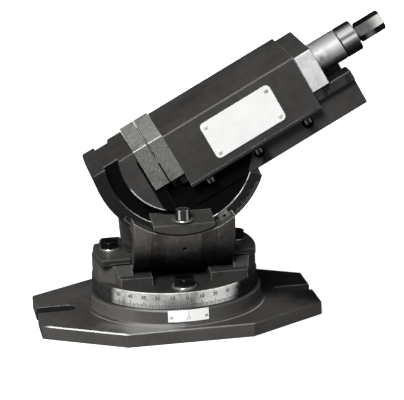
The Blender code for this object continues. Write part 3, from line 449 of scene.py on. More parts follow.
def vise_body_finish(look, steel):
    """Painted casting with a machined segment rim and ground ways on the bed."""
    finish = Finish("vise_body_paint_and_ways", True)
    x, y, z = finish.x, finish.y, finish.z
    reach = finish.radius(x, z)
    aside = abs(y)
    sideways = abs(finish.facing_y)
    coat, gloss, normal = paint_layers(finish, look.paint)

    # Black, partly oil and partly painted shade: in the sunk web, on the rim's inner wall, under and beside
    # the jaws, at the screws
    sunk = aside.mm(36.4, 36.0) * sideways.span(0.75, 0.85)
    inward = sideways.span(0.5, 0.3) * reach.mm(72.0, 73.0) * aside.mm(44.6, 44.2) * z.mm(23.4, 22.6)
    beneath = (x + z * 0.12).mm(-28.5, -27) * z.mm(-20, -21.5)
    beside = x.mm(-41.0, -40.4) * x.mm(-28, -30) * z.mm(17, 12) * aside.mm(44, 45)
    oil_and_shade = (sunk | beneath | inward | beside) * reach.mm(74.5, 73.9)
    for along in KEEPER_SCREWS_U:
        oil_and_shade = oil_and_shade | finish.radius(x - along, z - KEEPER_SHADE_W).mm(6.4, 5.2)
    coat = oil_and_shade.pick(coat, (0.0018, 0.0019, 0.0022))
    gloss = oil_and_shade.pick(gloss, 0.7)

    # Bare faces: the segment's rim and the bed's ways
    face = aside.mm(45.0, 45.4) * reach.mm(72.9, 73.3)
    tread = reach.mm(86.0, 86.5) * aside.mm(35.2, 35.5)
    rim = (face | tread) * x.mm(74, 80, 1.0, 0.0)
    way = z.mm(-31.0, -30.5) * z.mm(-19.1, -18.9, 1.0, 0.0) * x.mm(-21, -20)
    way = way * aside.mm(22.5, 22.8) * aside.mm(43.3, 43.6, 1.0, 0.0)
    bare = rim | way
    angle = finish.angle(z, x)
    radial = finish.vector(angle * 160.0, reach * 160.0, y * 160.0)
    metal, shine, marks = machined_layers(finish, steel.rim, radial, 0.5, grey(0.006))
    streaks = finish.noise(1.0, 3, 0.7, finish.vector(angle * 26.0, reach * 900.0, 0.0))
    metal = streaks.span(0.6, 0.78, 0.0, 0.4).pick(metal, (0.16, 0.155, 0.145))
    along_bed = finish.stretched(30, 2400, 2400)
    ground, ground_shine, _ = machined_layers(finish, steel.ways, along_bed, 0.42, (0.012, 0.011, 0.01))
    ground = (finish.noise(120, 4, 0.7).span(0.5, 0.62) * 0.8).pick(ground, grey(0.004))
    # Painted shade: the ways' upward faces near black
    ground = finish.facing_z.span(0.6, 0.8).pick(ground, grey(0.003))
    colour = bare.pick(coat, way.pick(metal, ground))
    rough = bare.pick(gloss, way.pick(shine, ground_shine))
    colour, rough, worn = add_wear(finish, colour, rough, oil_and_shade.fade(look.edge_wear, 0.03), 0.7)

    # Polished lines, bright as painted highlights: the rim's inner edge and the edge of the hub disc
    inner_edge = reach.mm(73.2, 73.5) * reach.mm(74.35, 74.1) * z.mm(-8, -14)
    inner_edge = inner_edge * finish.noise(55, 3, 0.6).span(0.35, 0.6, 0.25, 0.8)
    hub_edge = reach.mm(58.0, 58.6) * reach.mm(60.2, 59.8) * z.mm(-4, -10) * x.mm(-39, -43)
    polished = (inner_edge | hub_edge) * aside.mm(44.8, 45.2)
    polished = polished.times(finish.noise(90, 3, 0.6).span(0.3, 0.5, 0.45, 1.0))
    colour = polished.pick(colour, (0.9, 0.89, 0.87))
    metallic = bare * 0.6 | worn | polished * 0.35
    return finish.done(colour, rough, metallic, bare.pick(normal, marks, "VECTOR"), oil_and_shade.pick(0.42, 0.04))


def rocker_finish(look, steel):
    """Turned outer faces, stained by oil and brown in patches, darker in the relief and towards the right,
    with painted shade low down; painted cheeks and end faces, lighter as painted light where they face left.
    """
    finish = Finish("rocker_turned_iron", centre=ROCK_CENTRE)
    x, y, z = finish.x, finish.y, finish.z
    reach = finish.radius(y, z)
    far = abs(x)
    coat, gloss, normal = paint_layers(finish, look.paint)
    # Painted light on the faces that look left
    coat = coat.tinted(finish.facing_x.span(-0.6, -0.85, 1.0, 2.1))
    outer = reach.mm(64.2, 64.6) * far.mm(49.5, 49.8, 1.0, 0.0)
    turned = finish.vector(x * 900.0, finish.angle(z, y) * 4.0, 0.0)
    metal, shine, marks = machined_layers(finish, steel.machined, turned, 0.42, (0.02, 0.017, 0.014))
    brown = abs(x - 4 * MM).mm(28, 38) * finish.noise(60, 4, 0.65).span(0.35, 0.6, 0.35, 1.0)
    metal = (brown * 0.5).pick(metal, (0.11, 0.096, 0.086))
    recess = far.mm(16.9, 17.3) * far.mm(32.7, 33.1, 1.0, 0.0)
    metal = (recess * 0.3).pick(metal, (0.03, 0.027, 0.024))
    metal = metal.tinted(x.mm(-30, 50, 1.02, 0.5))
    # Painted shade low down, where the faces turn under: near black at the bottom, and less shiny
    low = z + finish.noise(26, 4, 0.6).vary(-5 * MM, 5 * MM)
    metal = low.mm(-15, -42, 0.0, 0.82).pick(metal, (0.016, 0.0155, 0.015))
    metal = low.mm(-31, -51).pick(metal, grey(0.003))

    ends = far.mm(44, 47) | reach.mm(64.0, 63.0)
    seat_lip = finish.radius(x, z - SEAT_ABOVE_ROCK_CENTRE).mm(88.4, 87.9) * far.mm(26, 31)
    rubbed = ends * (look.edge_wear * 1.4) * z.mm(-30, -5, 0.15, 1.0) | seat_lip * 3.0
    colour, rough, worn = add_wear(finish, outer.pick(coat, metal), outer.pick(gloss, shine), rubbed,
                                   0.8, (0.6, 0.59, 0.57))
    return finish.done(colour, rough, outer * 0.45 | worn * 0.5, outer.pick(normal, marks, "VECTOR"),
                       low.mm(-18, -52, 0.4, 0.08))


def clamp_finish(look):
    """Paint on the clamps, with painted shade on the rocker clamps' fronts and a black crescent painted as
    shade where the tilt clamps' noses meet the cheeks.
    """
    finish = Finish("clamp_paint")
    coat, gloss, normal = paint_layers(finish, look.clamp, 0.4)
    # Painted shade on the rocker clamps' front faces
    rocker_clamp_front_shade = finish.facing_y.span(-0.4, -0.7) * abs(finish.x).mm(44, 46)
    coat = coat.tinted(rocker_clamp_front_shade.fade(1.0, 0.35))
    coat, gloss, metal = add_wear(finish, coat, gloss, look.edge_wear * 1.3, 1.0)
    # A black crescent painted as shade under the tilt clamps' noses
    past_cheek = finish.radius(finish.x - TILT_CENTRE.x, finish.z - TILT_CENTRE.z) - CHEEK_RADIUS
    gap_shade = past_cheek.mm(-2.0, -1.3) * past_cheek.mm(3, 2) * abs(finish.y).mm(46, 47)
    coat = (gap_shade * 0.96).pick(coat, grey(0.002))
    return finish.done(coat, gloss, metal * ~gap_shade, normal, gap_shade.fade(0.45, 0.05))


def ground_finish(name, colour, along, rough=0.3, tilted=False, metallic=0.95,
                  stain=(0.08, 0.075, 0.07), edge=0.5, grime_and_shade=0.5):
    """Bare steel with grinding or turning marks. along gives the marks' waves a metre each way."""
    finish = Finish(name, tilted)
    metal, shine, marks = machined_layers(finish, colour, finish.stretched(*along), rough, stain)
    rim = finish.worn_edge(0.8).span(0.1, 0.45) * edge
    metal = finish.soiled(rim.pick(metal, (0.75, 0.74, 0.72)), 4, grime_and_shade, (0.02, 0.018, 0.016), 0.9)
    return finish.done(metal, shine, metallic, marks, 0.5)


def jaw_plate_finish(steel):
    """Ground steel with short strokes, lighter on top than on its sides as painted light, dark in the
    corners as soil and painted shade, with painted shade at the jaws' meeting line and on faces that look
    back along the bed, and painted highlights along the top.
    """
    finish = Finish("jaw_ground_steel", True)
    y, z = finish.y, finish.z
    metal, shine, marks = machined_layers(finish, steel.jaw, finish.stretched(260, 260, 1500), 0.42,
                                          (0.13, 0.125, 0.118))
    strokes = finish.noise(1.0, 2, 0.6, finish.stretched(1500, 1500, 380))
    # Painted light: the top is brighter than the sides
    metal = metal.tinted(strokes.vary(0.5, 1.4)).tinted(finish.facing_z.span(0.3, 0.8, 0.62, 1.0))
    rim = finish.worn_edge(0.55).span(0.15, 0.5) * 0.6
    metal = rim.pick(metal, (0.7, 0.69, 0.67))
    # Painted shade at the jaws' meeting line and on faces that look back along the bed; soil and shade in
    # the corners
    meeting = abs(finish.x - JAWS_MEET_U).mm(1.0, 0.6)
    corners = finish.corner_dirt(2.5).span(0.3, 0.75) * 0.85
    dirt_and_shade = corners | finish.facing_along().span(-0.55, -0.8) | meeting
    metal = dirt_and_shade.pick(metal, grey(0.004))
    # Painted highlights at the top of the meeting line and along the top front edge
    far_end_highlight = meeting * z.mm(25.0, 25.3) * y.mm(16, 28)
    front_edge_highlight = y.mm(-49.0, -49.3) * z.mm(24.7, 24.9)
    painted_highlight = far_end_highlight | front_edge_highlight * ~meeting
    metal = (painted_highlight * 0.9).pick(metal, (0.85, 0.84, 0.82))
    dirt_and_shade = dirt_and_shade * ~painted_highlight
    return finish.done(metal, shine + 0.1, dirt_and_shade.fade(0.4, 0.1), marks, dirt_and_shade.fade(0.3, 0.1))


def bearing_block_finish(look, steel):
    """Milled bare sides under a painted top."""
    finish = Finish("bearing_block_milled_steel", True)
    coat, gloss, normal = paint_layers(finish, look.paint)
    metal, shine, marks = machined_layers(finish, steel.ground, finish.stretched(90, 90, 90), 0.5,
                                          (0.62, 0.61, 0.6), 0.02)
    metal = finish.pick(0.45, metal, steel.ground)
    top = finish.z.mm(20.9, 21.2)
    colour, rough, worn = add_wear(finish, top.pick(metal, coat), top.pick(shine, gloss), 0.7, 0.9,
                                   (0.7, 0.69, 0.66))
    return finish.done(colour, rough, ~top * 0.25 | worn, top.pick(marks, normal, "VECTOR"), 0.45)


def dark_ends(finish, metal):
    """A turned piece's colour, darker on its end faces."""
    return abs(finish.facing_x).span(0.8, 0.95, 0.0, 0.6).pick(metal, grey(0.03))


def turned_finish(name, colour, painted_light_and_shade, smudges=0.0):
    """Turned steel, with painted light and shade round its axis, and oil smudges low down near the block."""
    finish = Finish(name, True)
    marks = finish.noise(1.0, 3, 0.6, finish.stretched(1100, 20, 20))
    cloud = finish.noise(70, 4, 0.65)
    up = finish.angle(finish.facing_z, -finish.facing_y) + cloud.vary(-0.05, 0.05)
    # Painted light and shade: the colour's level follows the facing round the axis
    metal = finish.tinted(colour, up.levels(painted_light_and_shade)).tinted(marks.vary(0.93, 1.06))
    smudge = cloud.span(0.46, 0.62) * finish.x.mm(184, 168) * up.degrees(48, 8) * smudges
    metal = finish.soiled(dark_ends(finish, smudge.pick(metal, (0.1, 0.095, 0.095))), 2)
    return finish.done(metal, marks.vary(0.46, 0.54), 0.25, finish.bump(marks, 0.004, 0.2), 0.2)


def spindle_finish(colour, shoulder):
    """Turned shoulder and six sided drive end, with painted light and shade round the axis and a painted
    glint on a flat, mottled with oil at its root and bright at its tip.
    """
    finish = Finish("spindle_polished_steel", True)
    x = finish.x
    marks = finish.noise(1.0, 3, 0.6, finish.stretched(900, 25, 25))
    up = finish.angle(finish.facing_z, -finish.facing_y)
    # Painted light and shade round the shoulder
    turned = finish.tinted(shoulder, up.levels(COLLAR_PAINTED_LIGHT))
    tip = x.mm(222, 240)
    flats = finish.tinted(colour, tip.fade(0.12, 0.58))
    spots = finish.noise(150, 5, 0.75).span(0.36, 0.62, 0.3, 1.0) * ~(tip * 0.95)
    # Painted light and shade on the flats
    flats = (spots * 0.85).pick(flats, (0.05, 0.047, 0.047)).tinted(up.levels(DRIVE_END_PAINTED_LIGHT))
    # A painted glint on the flat that faces the front
    glint = x.mm(217, 223) * x.mm(231, 225) * up.degrees(5, -5)
    flats = (glint * 0.7).pick(flats, grey(0.6))
    metal = x.mm(211, 213).pick(turned, flats).tinted(marks.vary(0.94, 1.05))
    greased = x.span(THREAD_END + 0.6 * MM, THREAD_END)
    metal = (greased * 0.9).pick(metal, (0.03, 0.027, 0.022))
    metal = finish.soiled(dark_ends(finish, metal), 3)
    return finish.done(metal, marks.vary(0.46, 0.54), 0.15, finish.bump(marks, 0.002, 0.1), 0.12)


def polished_finish(name, colour):
    """Clean turned steel."""
    finish = Finish(name)
    marks = finish.noise(900, 3, 0.6)
    metal = finish.soiled(finish.tinted(colour, marks.vary(0.9, 1.05)), 3)
    return finish.done(metal, marks.vary(0.2, 0.28), 0.9, finish.bump(marks, 0.004, 0.3), 0.4)


def screw_finish(name, colour, tilted=False):
    """Polished screw heads, toned as painted light: two upright glints on a dark rim, and a dark top."""
    finish = Finish(name, tilted)
    marks = finish.noise(600, 3, 0.6)
    # Painted glints and shade: the rim's level follows the facing round the head, and the top face is kept
    # dark
    rim = finish.angle(finish.facing_along(), -finish.facing_y).levels(SCREW_HEAD_PAINTED_GLINTS) * 0.6
    level = finish.facing_z.span(0.6, 0.8).pick(rim, 0.05)
    metal = finish.tinted(colour, level).tinted(marks.vary(0.85, 1.1))
    metal = finish.soiled(metal, 3, 0.95, grey(0.006))
    return finish.done(metal, marks.vary(0.46, 0.54), 0.1, finish.bump(marks, 0.004, 0.3), 0.06)


def black_oxide_finish(name, colour):
    """Blackened steel, rubbed bright along its edges."""
    finish = Finish(name)
    broad = finish.noise(160, 3, 0.6)
    fine = finish.noise(1400, 2, 0.6)
    skin = finish.tinted(colour, broad.vary(0.6, 1.5))
    gloss = broad.vary(0.2, 0.34) + fine.vary(-0.04, 0.06)
    rubbed = finish.worn_edge(0.7).span(0.12, 0.5) * broad.span(0.3, 0.6, 0.15, 0.8)
    return finish.done(rubbed.pick(skin, (0.4, 0.39, 0.37)), gloss, rubbed.pick(0.45, 0.95),
                       finish.bump(fine, 0.03, 0.5), 0.5)


def plate_finish(name, colour, tilted=False):
    """A pale lacquered plate with faint rolling marks, a dull rim and a little soiling."""
    finish = Finish(name, tilted)
    rolled = finish.noise(1.0, 3, 0.6, finish.stretched(60, 60, 2200))
    broad = finish.noise(55, 4, 0.6)
    skin = finish.tinted(colour, rolled.vary(0.97, 1.02) + broad.span(0.35, 0.7, 0.02, -0.06))
    rim = finish.worn_edge(0.7).span(0.15, 0.5) * 0.55
    return finish.done(rim.pick(skin, (0.3, 0.29, 0.28)), broad.vary(0.36, 0.48), rim * 0.8,
                       finish.bump(rolled, 0.015, 0.4), 0.5)


def mark_finish(name, colour, rough=0.6):
    """Filled engraving, uneven where the filler has worn."""
    finish = Finish(name)
    worn = finish.noise(700, 3, 0.6)
    ink = finish.tinted(colour, worn.span(0.35, 0.7, 0.7, 1.9))
    return finish.done(ink, worn.vary(rough - 0.08, rough + 0.1), 0.0,
                       finish.bump(worn, 0.02, 0.5), 0.3)


# Mesh helpers


def edge_group():
    """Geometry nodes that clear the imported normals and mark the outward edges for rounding."""
    group = bpy.data.node_groups.new("outward_edges", "GeometryNodeTree")
    for way in ("INPUT", "OUTPUT"):
        group.interface.new_socket("Geometry", in_out=way, socket_type="NodeSocketGeometry")
    entry = add_node(group, "NodeGroupInput").outputs[0]
    clear = add_node(group, "GeometryNodeSetMeshNormal", {"Mesh": entry, "Remove Custom": True}).outputs[0]
    smooth = add_node(group, "GeometryNodeSetShadeSmooth", {"Geometry": clear, "Shade Smooth": True},
                      domain="FACE").outputs[0]
    angle = add_node(group, "GeometryNodeInputMeshEdgeAngle").outputs
    sharp = add_node(group, "FunctionNodeCompare", {0: angle["Unsigned Angle"], 1: math.radians(26)},
                     operation="GREATER_THAN").outputs[0]
    crease = add_node(group, "GeometryNodeSetShadeSmooth",
                      {"Geometry": smooth, "Selection": sharp, "Shade Smooth": False},
                      domain="EDGE").outputs[0]
    outward = add_node(group, "FunctionNodeCompare", {0: angle["Signed Angle"], 1: math.radians(33)},
                       operation="GREATER_THAN").outputs[0]
    store = add_node(group, "GeometryNodeStoreNamedAttribute", data_type="FLOAT", domain="EDGE")
    for name, value in (("Geometry", crease), ("Name", "bevel_weight_edge"), ("Value", outward)):
        feed(group, store.inputs[name], value)
    add_node(group, "NodeGroupOutput", {0: store.outputs[0]})
    return group


def round_edges(thing, width):
    """Rounds a carried-over node's outward edges a little, as a file or a tumbler leaves them."""
    stack = thing.modifiers
    configured(stack.new("weld", "WELD"), merge_threshold=0.002 * MM)
    configured(stack.new("flat_faces", "DECIMATE"), decimate_type="DISSOLVE", angle_limit=math.radians(0.4))
    group = bpy.data.node_groups.get("outward_edges") or edge_group()
    configured(stack.new("outward_edges", "NODES"), node_group=group)
    configured(stack.new("rounded_edges", "BEVEL"), width=width * MM, segments=2, limit_method="WEIGHT")
    configured(stack.new("even_shading", "WEIGHTED_NORMAL"), keep_sharp=True)


def dress(node, material, width):
    """Give a carried-over node its material, and its edges a rounding of this width in millimetres."""
    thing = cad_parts[node]
    thing.data.materials.clear()
    thing.data.materials.append(material)
    round_edges(thing, width)


def dress_sides(names, sides, material, width):
    for name in names:
        for side in sides:
            dress(name + "_" + side, material, width)


def new_piece(name, builder, material, body):
    mesh = bpy.data.meshes.new(name)
    bmesh.ops.recalc_face_normals(builder, faces=builder.faces)
    builder.to_mesh(mesh)
    builder.free()
    mesh.materials.append(material)
    piece = link_object(name, mesh)
    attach(piece, body)
    return piece


def add_block(builder, corners):
    """A closed block from its 8 corners, the lower four first."""
    points = [builder.verts.new(corner) for corner in corners]
    for face in ((0, 3, 2, 1), (4, 5, 6, 7), (0, 1, 5, 4), (1, 2, 6, 5), (2, 3, 7, 6), (3, 0, 4, 7)):
        builder.faces.new([points[index] for index in face])


def on_drum(radius, angle, height):
    return Vector((radius * math.cos(angle), radius * math.sin(angle), height))


def in_tilt(along, across, up):
    """A point of the tilting vise's own frame."""
    return TILT_TO_WORLD @ Vector((along, across, up))


def add_drum_line(builder, radius, angle, width, low, high):
    """An upright line that stands a little out of a round face, from one height to another."""
    inside, outside = radius - MARK_SUNK, radius + MARK_RAISED
    half = width / 2 / radius
    around = ((inside, -half), (inside, half), (outside, half), (outside, -half))
    add_block(builder, [on_drum(reach, angle + side, height)
                        for height in (low, high) for reach, side in around])


def words_mesh(text, height):
    """Flat extruded figures of this cap height, centred on the origin, in the XY plane."""
    curve = configured(bpy.data.curves.new("figures", "FONT"), body=text, size=height / CAP_SHARE,
                       align_x="CENTER", extrude=0.05 * MM, resolution_u=3, offset=0.09 * MM)
    holder = link_object("figures", curve)
    bpy.context.view_layer.update()
    mesh = bpy.data.meshes.new_from_object(holder.evaluated_get(bpy.context.evaluated_depsgraph_get()))
    bpy.data.objects.remove(holder)
    bpy.data.curves.remove(curve)
    mesh.transform(Matrix.Translation((0, -height / 2, 0)))
    return mesh


def join_rings(builder, rings):
    """Skin a row of rings of vertices, and close both ends."""
    for first, second in zip(rings, rings[1:]):
        for index in range(len(first)):
            follow = (index + 1) % len(first)
            builder.faces.new((first[index], first[follow], second[follow], second[index]))
    builder.faces.new(rings[-1])
    builder.faces.new(reversed(rings[0]))


def add_thread(builder, pitch, crest, steps=28):
    """A right-hand ridge round the spindle, flat on its crest and tapered away at both ends."""
    count = round((THREAD_END - THREAD_START) / pitch * steps)
    rings = []
    for number in range(count + 1):
        along = THREAD_START + (THREAD_END - THREAD_START) * number / count
        angle = 2 * math.pi * along / pitch
        fade = min(1.0, number / steps, (count - number) / steps)
        top = SPINDLE_RADIUS + (crest - THREAD_SUNK) * fade - THREAD_SUNK
        profile = ((-0.27, THREAD_ROOT), (-0.2, top), (0.2, top), (0.27, THREAD_ROOT))
        rings.append([builder.verts.new(in_tilt(along + side * pitch, reach * math.cos(angle),
                                                SPINDLE_W + reach * math.sin(angle)))
                      for side, reach in profile])
    join_rings(builder, rings)


def add_dome(builder, place, radius, height, steps=20):
    """A low domed rivet head on a face. place turns a spot on the face and a height into a point."""
    profile = ((1.0, -0.3 * MM), (1.0, height * 0.25), (0.93, height * 0.6), (0.72, height * 0.88),
               (0.4, height))
    rings = []
    for part, up in profile:
        ring = [on_drum(part * radius, 2 * math.pi * step / steps, up) for step in range(steps)]
        rings.append([builder.verts.new(place(*point)) for point in ring])
    join_rings(builder, rings)


def add_rivets(name, places, radius, height, material, body):
    """A rivet head at each place, numbered from 1."""
    for number, place in enumerate(places, 1):
        head = bmesh.new()
        add_dome(head, place, radius, height)
        new_piece(f"{name}_{number}", head, material, body)


# Settings


def size(name, description, millimetres):
    return bpy.props.FloatProperty(name=name, description=description, default=millimetres * MM, min=0.0,
                                   unit="LENGTH", subtype="DISTANCE", precision=5)


def share(name, description, default, high=1.0):
    return bpy.props.FloatProperty(name=name, description=description, default=default, min=0.0,
                                   max=high, subtype="FACTOR")


def colour(name, description, default):
    return bpy.props.FloatVectorProperty(name=name, description=description, default=default, size=3,
                                         min=0.0, max=1.0, subtype="COLOR")


def power(name, default):
    return bpy.props.FloatProperty(name=name, description="Power of the " + name.lower(), default=default,
                                   unit="POWER")


class VisePaintSettings(bpy.types.PropertyGroup):
    paint: colour("Paint", "Dark grey paint on the castings", (0.034, 0.032, 0.030))
    clamp: colour("Clamp paint", "Paint on the clamp straps", (0.036, 0.034, 0.031))
    band: colour("Scale band", "Turned steel of the turntable's scale band", (0.85, 0.84, 0.82))
    edge_wear: share("Edge wear", "How much bare metal shows along the edges", 0.75, 1.5)


class ViseSteelSettings(bpy.types.PropertyGroup):
    machined: colour("Machined iron", "Turned and milled cast iron", (0.16, 0.15, 0.14))
    rim: colour("Rim iron", "Oil-dark machined rim of the segment", (0.014, 0.0138, 0.0135))
    ways: colour("Ways", "Ground ways of the bed", (0.05, 0.048, 0.046))
    ground: colour("Ground steel", "Ground and milled bare steel", (0.63, 0.625, 0.62))
    jaw: colour("Jaw steel", "Ground jaw plates", (0.3, 0.295, 0.28))
    bright: colour("Bright steel", "Turned and polished fasteners", (0.72, 0.71, 0.69))
    oxide: colour("Black oxide", "Blackened bolts", (0.004, 0.004, 0.0045))
    thread_pitch: size("Thread pitch", "Pitch of the spindle's thread", 5)
    thread_crest: size("Thread crest", "Height of the thread's ridge over the plain bar", 0.14)
    sleeve: colour("Bearing sleeve", "Turned bearing sleeve", (0.34, 0.337, 0.338))
    collar: colour("Lock collar", "Turned lock collar", (0.31, 0.308, 0.308))
    socket: colour("Socket screws", "Dark polished socket screws", (0.3, 0.295, 0.29))
    bronze: colour("Bronze", "Spindle nut", (0.45, 0.27, 0.1))


class ViseScaleSettings(bpy.types.PropertyGroup):
    figure_height: size("Figure height", "Height of the figures on the turntable", 3.6)
    figure_middle: size("Figure position", "Height of the figures' middle", 40.9)
    tick_width: size("Tick width", "Width of a line on the scale", 0.46)
    tick_short: size("Single degree line", "Length of a one-degree line", 3.6)
    tick_middle: size("Five degree line", "Length of a five-degree line", 5.0)
    tick_long: size("Ten degree line", "Length of a ten-degree line", 6.2)
    ink: colour("Ink", "Filler in the engraved lines and figures", (0.009, 0.0085, 0.008))


class VisePlateSettings(bpy.types.PropertyGroup):
    plate: colour("Plate", "Lacquer of the plates", (0.74, 0.735, 0.725))
    rivet_radius: size("Rivet radius", "Radius of a plate rivet's head", 2.2)
    rivet_height: size("Rivet height", "Height of a plate rivet's head", 0.8)


class ViseStageSettings(bpy.types.PropertyGroup):
    floor_size: size("Floor size", "Half the side of the floor", 9000)
    key: power("Key light", 92.0)
    fill: power("Fill light", 0.6)
    top: power("Top light", 3.0)
    rear: power("Rear light", 30.0)
    ambient: share("Ambient", "Level of the light from all round", 0.008)
    lens: bpy.props.FloatProperty(name="Lens", description="Focal length in millimetres", default=195.8)


SETTINGS = {
    "vise_paint": VisePaintSettings,
    "vise_steel": ViseSteelSettings,
    "vise_scale": ViseScaleSettings,
    "vise_plate": VisePlateSettings,
    "vise_stage": ViseStageSettings,
}


# Operators


class VISE_OT_castings(bpy.types.Operator):
    """Paint the base, the vise body and the moving jaw, and leave their machined faces bare"""

    bl_idname = "vise.castings"
    bl_label = "Castings"

    def execute(self, context):
        look, steel = context.scene.vise_paint, context.scene.vise_steel
        dress("base_plate", base_finish(look), 0.6)
        dress("vise_body", vise_body_finish(look, steel), 0.5)
        dress("moving_jaw", painted_casting("jaw_paint", look, True), 0.5)
        return {"FINISHED"}


class VISE_OT_turntable(bpy.types.Operator):
    """Finish the turntable and engrave the degree scale round its band"""

    bl_idname = "vise.turntable"
    bl_label = "Turntable and scale"

    def execute(self, context):
        scale = context.scene.vise_scale
        dress("turntable", turntable_finish(context.scene.vise_paint), 0.5)
        ink = mark_finish("scale_ink", scale.ink)
        lines = bmesh.new()
        low = DRUM_BOTTOM + BAND_MARGIN
        for degree in range(360):
            length = scale.tick_middle if degree % 5 == 0 else scale.tick_short
            length = scale.tick_long if degree % 10 == 0 else length
            angle = math.radians(degree) + FRONT
            add_drum_line(lines, DRUM_RADIUS, angle, scale.tick_width, low, low + length)
        new_piece("scale_lines", lines, ink, "turntable")

        figures = bmesh.new()
        for step in range(36):
            number = 10 * min(step, 36 - step)
            mesh = words_mesh(str(number), scale.figure_height)
            for vertex in mesh.vertices:
                x, y, z = vertex.co
                turn = math.radians(10 * step) + FRONT + x / DRUM_RADIUS
                vertex.co = on_drum(DRUM_RADIUS + z, turn, scale.figure_middle + y)
            figures.from_mesh(mesh)
            bpy.data.meshes.remove(mesh)
        bmesh.ops.remove_doubles(figures, verts=figures.verts, dist=0.001 * MM)
        new_piece("scale_figures", figures, ink, "turntable")
        return {"FINISHED"}


class VISE_OT_rocker(bpy.types.Operator):
    """Finish the rocker, its clamp straps, and the strap and index of the tilting segment"""

    bl_idname = "vise.rocker"
    bl_label = "Rocker and clamps"

    def execute(self, context):
        look, steel = context.scene.vise_paint, context.scene.vise_steel
        dress("rocker", rocker_finish(look, steel), 0.5)
        strap = clamp_finish(look)
        dress_sides(("rocker_clamp",), ("left", "right"), strap, 0.5)
        dress_sides(("tilt_clamp",), ("front", "back"), strap, 0.5)
        index = ground_finish("index_steel", steel.machined, (500, 500, 500), 0.5, metallic=0.3,
                              stain=(0.03, 0.03, 0.028), edge=0.05)
        dress("tilt_index", index, 0.3)
        return {"FINISHED"}


class VISE_OT_jaws(bpy.types.Operator):
    """Finish the ground jaw plates and the keeper strips, darkened as painted shade"""

    bl_idname = "vise.jaws"
    bl_label = "Jaw plates and keepers"

    def execute(self, context):
        look, steel = context.scene.vise_paint, context.scene.vise_steel
        jaw = jaw_plate_finish(steel)
        for node in ("fixed_jaw_plate", "moving_jaw_plate"):
            dress(node, jaw, 0.45)
        # The keepers' paint at 0.6 of its level, as painted shade under the jaw
        keeper = painted_casting("keeper_painted_shade_steel", look, True, 0.5, 0.6)
        dress_sides(("keeper_strip",), ("front", "back"), keeper, 0.35)
        return {"FINISHED"}


class VISE_OT_spindle(bpy.types.Operator):
    """Finish the spindle, its sleeve, block, lock collar and nut, and add its thread"""

    bl_idname = "vise.spindle"
    bl_label = "Spindle"

    def execute(self, context):
        look, steel = context.scene.vise_paint, context.scene.vise_steel
        dress("spindle", spindle_finish(steel.bright, steel.collar), 0.3)
        thread = bmesh.new()
        add_thread(thread, steel.thread_pitch, steel.thread_crest)
        ridge = ground_finish("thread_rolled_steel", steel.ground, (300, 300, 300), 0.3, True)
        new_piece("spindle_thread", thread, ridge, "spindle")
        sleeve = turned_finish("sleeve_turned_steel", steel.sleeve, SLEEVE_PAINTED_LIGHT, 0.85)
        dress("bearing_sleeve", sleeve, 0.3)
        dress("bearing_block", bearing_block_finish(look, steel), 0.5)
        collar = turned_finish("collar_turned_steel", steel.collar, COLLAR_PAINTED_LIGHT)
        dress("spindle_lock_collar", collar, 0.3)
        nut = ground_finish("nut_bronze", steel.bronze, (300, 300, 300), 0.35, True, stain=(0.2, 0.11, 0.04))
        dress("spindle_nut", nut, 0.4)
        return {"FINISHED"}


class VISE_OT_fasteners(bpy.types.Operator):
    """Finish the bolts, screws, washers, T-nuts and the swivel pin"""

    bl_idname = "vise.fasteners"
    bl_label = "Fasteners"

    def execute(self, context):
        steel = context.scene.vise_steel
        ends = ("front", "back")
        black = black_oxide_finish("bolt_black_oxide", steel.oxide)
        dress_sides(("swivel_bolt", "fixed_jaw_plate_screw", "moving_jaw_plate_screw", "nut_screw"),
                    ends, black, 0.3)
        dress_sides(("rocker_clamp_bolt",), ("left", "right"), black, 0.3)
        bright = polished_finish("bright_fastener_steel", steel.bright)
        dress_sides(("swivel_washer", "tilt_clamp_washer"), ends, bright, 0.25)
        dress_sides(("rocker_clamp_washer",), ("left", "right"), bright, 0.25)
        tilt_screw = screw_finish("tilt_screw_steel", steel.bright)
        dress_sides(("tilt_clamp_screw",), ends, tilt_screw, 0.25)
        socket = screw_finish("socket_screw_steel", steel.socket, True)
        dress_sides(("keeper_screw_front", "keeper_screw_back"), "123", socket, 0.25)
        plain = ground_finish("pin_steel", steel.ground, (60, 60, 2000), 0.32)
        dress_sides(("swivel_t_nut",), ends, plain, 0.4)
        dress("swivel_pin", plain, 0.4)
        return {"FINISHED"}


